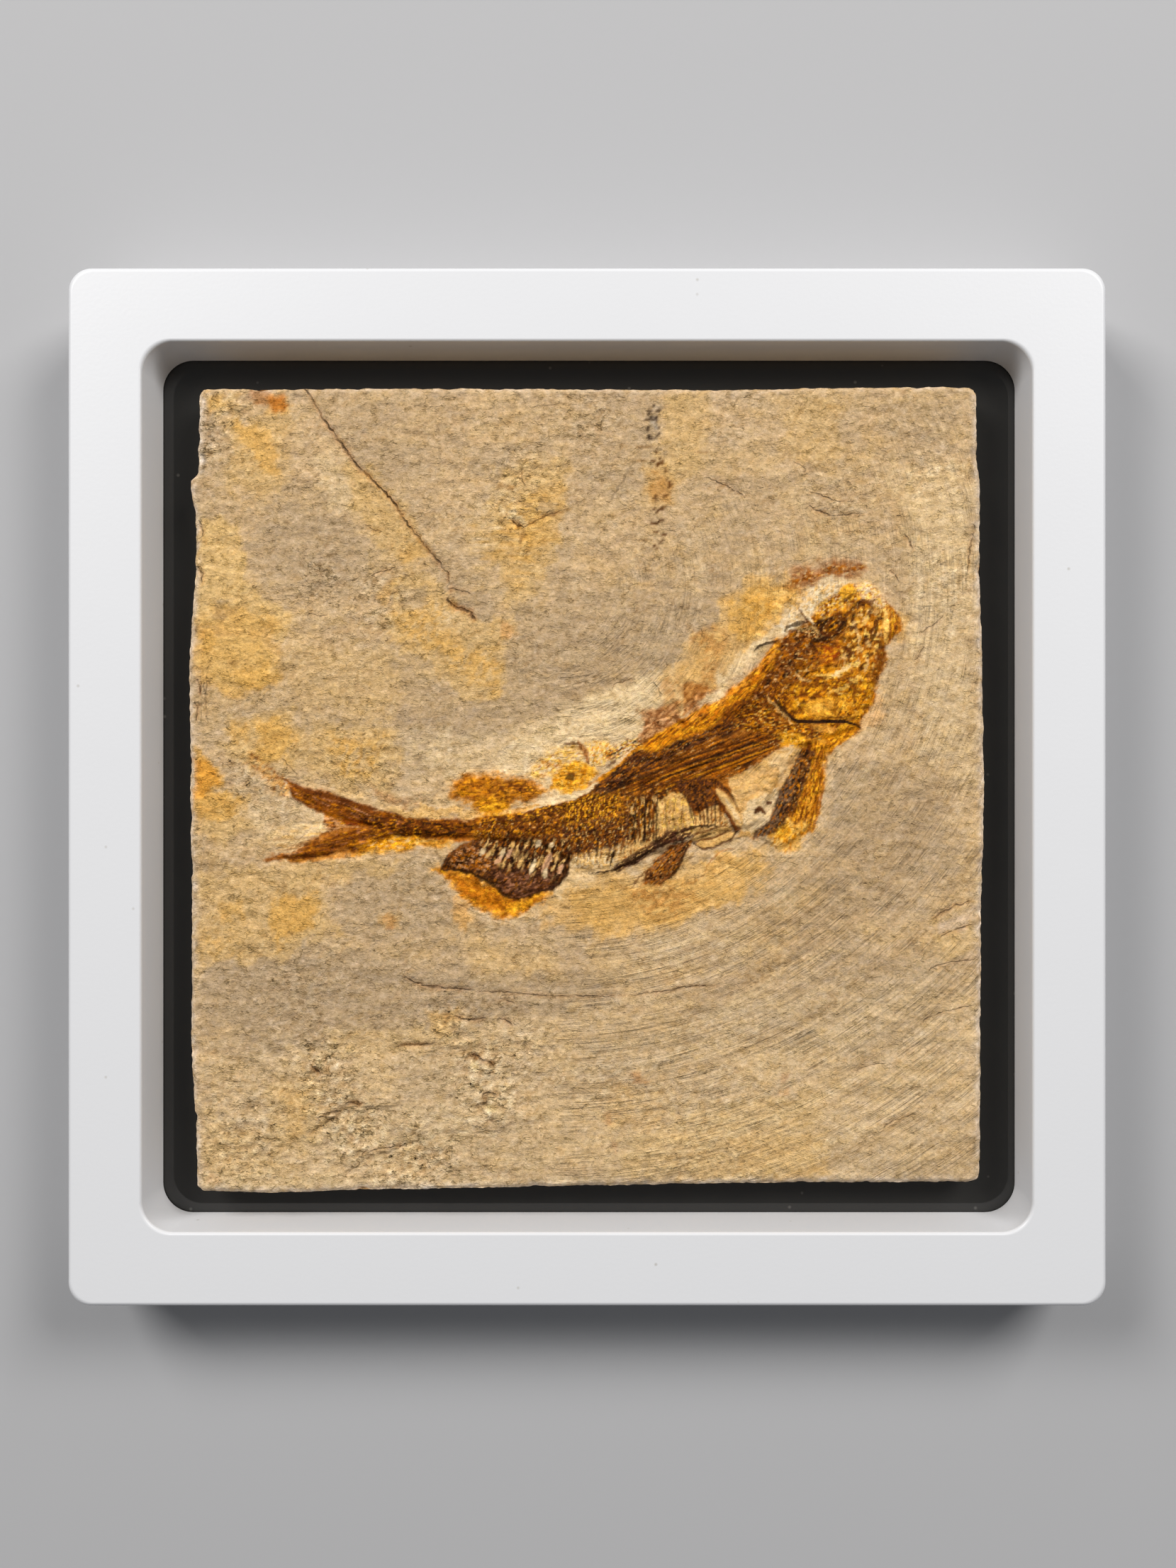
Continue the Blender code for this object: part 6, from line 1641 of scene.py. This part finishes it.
def stain(piece, below, gap=None):
    """Write the stain, how much mineral film it holds, the bedding and the cracks.

    Under the height below, the rock is the bare broken side; gap is the way in from the rim.
    """
    points = points_of(piece)
    x, y = points[:, 0].copy(), points[:, 1].copy()
    face = new_face(x, y)
    paint_stone(face)
    if gap is not None:
        wear_and_highlight_rim(face, points, gap)
    broken = smooth((below - points[:, 2]) / 0.6)
    layers = 0.5 + 0.5 * rough_cloud(points[:, 2] * 1.6, (x + y) / 14.0, 961)
    side = DRAB * 0.80 + (STRAW * 0.95 - DRAB * 0.80) * smooth(layers)[:, None]
    # the relief's tone, with painted shade and painted highlight at the flake steps
    colour = weather_and_shade(face, face["colour"])
    colour += (side - colour) * broken[:, None]
    film = smooth((0.30 - colour[:, 2] / colour[:, 0]) / 0.22) * (1.0 - broken)
    film *= 0.35 + 0.65 * smooth(depth_inside(x, y, FOSSIL_EDGE) / 2.0 + 1.0)
    clots = 0.6 * rough_cloud(x / 1.9, y / 1.5, 991)
    clots += 0.4 * rough_cloud(x / 0.6, y / 0.5, 995, 2)
    colour = colour * np.exp((film * clots)[:, None] * CLOT_SHARES)
    # the stain colour also carries the painted shade and highlight laid on above
    keep(piece, "stain", colour, film)
    along, across, share = flow(x, y)
    keep(piece, "scored", along * MM, across * MM, share)
    signed, shown = nearest_crack(face)
    yellow = 1.0 - colour[:, 2] / colour[:, 0]
    coarse = np.clip(0.25 + crumbled(face) + 0.15 * smooth((yellow - 0.45) / 0.3), 0.0, 1.0)
    keep(piece, "crack", signed, shown * (1.0 - broken), coarse)


def grid(name, columns, rows):
    """A flat grid of unit size; gives the piece and each point's column and row."""
    bpy.ops.object.select_all(action="DESELECT")
    bpy.ops.mesh.primitive_grid_add(x_subdivisions=columns, y_subdivisions=rows, size=1.0)
    piece = bpy.context.object
    piece.name = name
    points = points_of(piece) * MM
    column = np.rint((points[:, 0] + 0.5) * columns).astype(int)
    row = np.rint((points[:, 1] + 0.5) * rows).astype(int)
    return piece, column, row


def on_side(side, share):
    """Points a share of the way along one side of the broken outline."""
    places = np.array(side)
    lengths = np.hypot(*np.diff(places, axis=0).T)
    passed = np.concatenate([[0.0], np.cumsum(lengths)]) / lengths.sum()
    return np.column_stack([np.interp(share, passed, places[:, axis]) for axis in (0, 1)])


def closer_at_ends(count):
    """Shares from 0 to 1 that start and end with shorter steps, for the worn rim."""
    steps = np.ones(count)
    near_rim = len(RIM_STEPS)
    steps[:near_rim] = steps[-1:-near_rim - 1:-1] = RIM_STEPS
    return np.concatenate([[0.0], np.cumsum(steps)]) / steps.sum()


def inside_outline(u, v):
    """Carry the unit square on to the broken outline; gives points and gap to its edge."""
    out_u, out_v = SLAB_WIDTH * np.minimum(u, 1.0 - u), SLAB_LENGTH * np.minimum(v, 1.0 - v)
    a = np.clip(1.0 - out_u / SLAB_CORNER, 0.0, 1.0)
    b = np.clip(1.0 - out_v / SLAB_CORNER, 0.0, 1.0)
    bent_a, bent_b = a * np.sqrt(1.0 - b * b / 2.0), b * np.sqrt(1.0 - a * a / 2.0)
    cornered = (a > 0.0) & (b > 0.0)
    gap = np.where(cornered, SLAB_CORNER * (1.0 - np.hypot(bent_a, bent_b)),
                   np.minimum(out_u, out_v))
    shift_u = np.where(cornered, (a - bent_a) * SLAB_CORNER / SLAB_WIDTH, 0.0)
    shift_v = np.where(cornered, (b - bent_b) * SLAB_CORNER / SLAB_LENGTH, 0.0)
    u = u + np.where(u < 0.5, shift_u, -shift_u)
    v = v + np.where(v < 0.5, shift_v, -shift_v)
    low, high = on_side(BOTTOM_SIDE, u), on_side(TOP_SIDE, u)
    left, right = on_side(LEFT_SIDE, 1.0 - v), on_side(RIGHT_SIDE, 1.0 - v)
    u, v = u[:, None], v[:, None]
    corners = ((1 - u) * (1 - v) * BOTTOM_SIDE[0] + u * (1 - v) * BOTTOM_SIDE[-1]
               + (1 - u) * v * TOP_SIDE[0] + u * v * TOP_SIDE[-1])
    return (1 - v) * low + v * high + (1 - u) * left + u * right - corners, gap


def stone_slab():
    piece, column, row = grid("stone_slab", STONE_COLUMNS, STONE_ROWS)
    place, gap = inside_outline(closer_at_ends(STONE_COLUMNS)[column],
                                closer_at_ends(STONE_ROWS)[row])
    x, y = place[:, 0], place[:, 1]
    ragged = (0.08 * rough_cloud(x / 1.1, y / 1.1, 971) - 0.04) * np.exp(-gap / 0.8)
    x, y = x * (1.0 + ragged / HALF_SLAB), y * (1.0 + ragged / HALF_SLAB)
    face = new_face(x, y)
    carve_rock(face, PRESSED)
    worn = 1.0 - smooth(gap / (RIM_WIDTH * (1.0 + 0.5 * cloud(x / 3.0, y / 3.0, 981))))
    chipped = smooth(cloud(x / 4.0, y / 4.0, 985) * 2.0 - 0.4) * np.exp(-gap / 1.6)
    face["height"] -= RIM_DROP * worn + CHIP_DROP * chipped
    face["height"] += RIM_BUMPS * cloud(x / 1.3, y / 1.3, 987) * np.exp(-gap / 0.9)
    set_points(piece, np.column_stack([x, y, SLAB_FACE + face["height"]]))
    draw_down(piece, BROKEN_SIDE, SIDE_WANDER)
    stain(piece, SLAB_FACE - RIM_DROP - CHIP_DROP, gap)
    bpy.ops.object.shade_smooth_by_angle(angle=math.radians(STONE_SMOOTH))
    piece.data.materials.append(mineral("shale", **SHALE))
    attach(piece, "root")
    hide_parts("fish_slab")


stone_slab()


# ---- The fossil fish --------------------------------------------------------------------
# The fish's bones and skin, a brown mineral film grown into the stone's face and a little
# proud of it. It is part of the stone; its finer mesh dips under the rock at its edge.
FOSSIL_STEP = 0.21
FOSSIL_FOOT = 15.4
FOSSIL_PROUD = 0.02
FOSSIL_DIP = 0.45
FOSSIL_BANK = 0.7
FOSSIL_SMOOTH = 70.0
BONE = {"dull": 0.80, "polish": 0.36, "depth": 0.26 * MM}


def fossil_fish():
    xs, ys = [p[0] for p in FOSSIL_EDGE], [p[1] for p in FOSSIL_EDGE]
    columns = math.ceil((max(xs) - min(xs)) / FOSSIL_STEP)
    rows = math.ceil((max(ys) - min(ys)) / FOSSIL_STEP)
    piece, column, row = grid("fossil_fish", columns, rows)
    x, y = min(xs) + column * FOSSIL_STEP, min(ys) + row * FOSSIL_STEP
    within = depth_inside(x, y, FOSSIL_EDGE)
    face = new_face(x, y)
    paint_stone(face)
    carve_rock(face, 0.0)
    face["height"] += FOSSIL_PROUD - FOSSIL_DIP * (1.0 - smooth(within / FOSSIL_BANK))
    set_points(piece, np.column_stack([x, y, SLAB_FACE + face["height"]]))
    bpy.ops.object.mode_set(mode="EDIT")
    bpy.ops.mesh.select_mode(type="VERT")
    bpy.ops.mesh.select_all(action="DESELECT")
    bpy.ops.object.mode_set(mode="OBJECT")
    piece.data.vertices.foreach_set("select", within < 0.0)
    bpy.ops.object.mode_set(mode="EDIT")
    bpy.ops.mesh.delete(type="VERT")
    bpy.ops.object.mode_set(mode="OBJECT")
    draw_down(piece, [(FOSSIL_FOOT, 0.0)], 0.0)
    stain(piece, FOSSIL_FOOT)
    bpy.ops.object.shade_smooth_by_angle(angle=math.radians(FOSSIL_SMOOTH))
    piece.data.materials.append(mineral("fossil_bone", **BONE))
    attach(piece, "root")


fossil_fish()
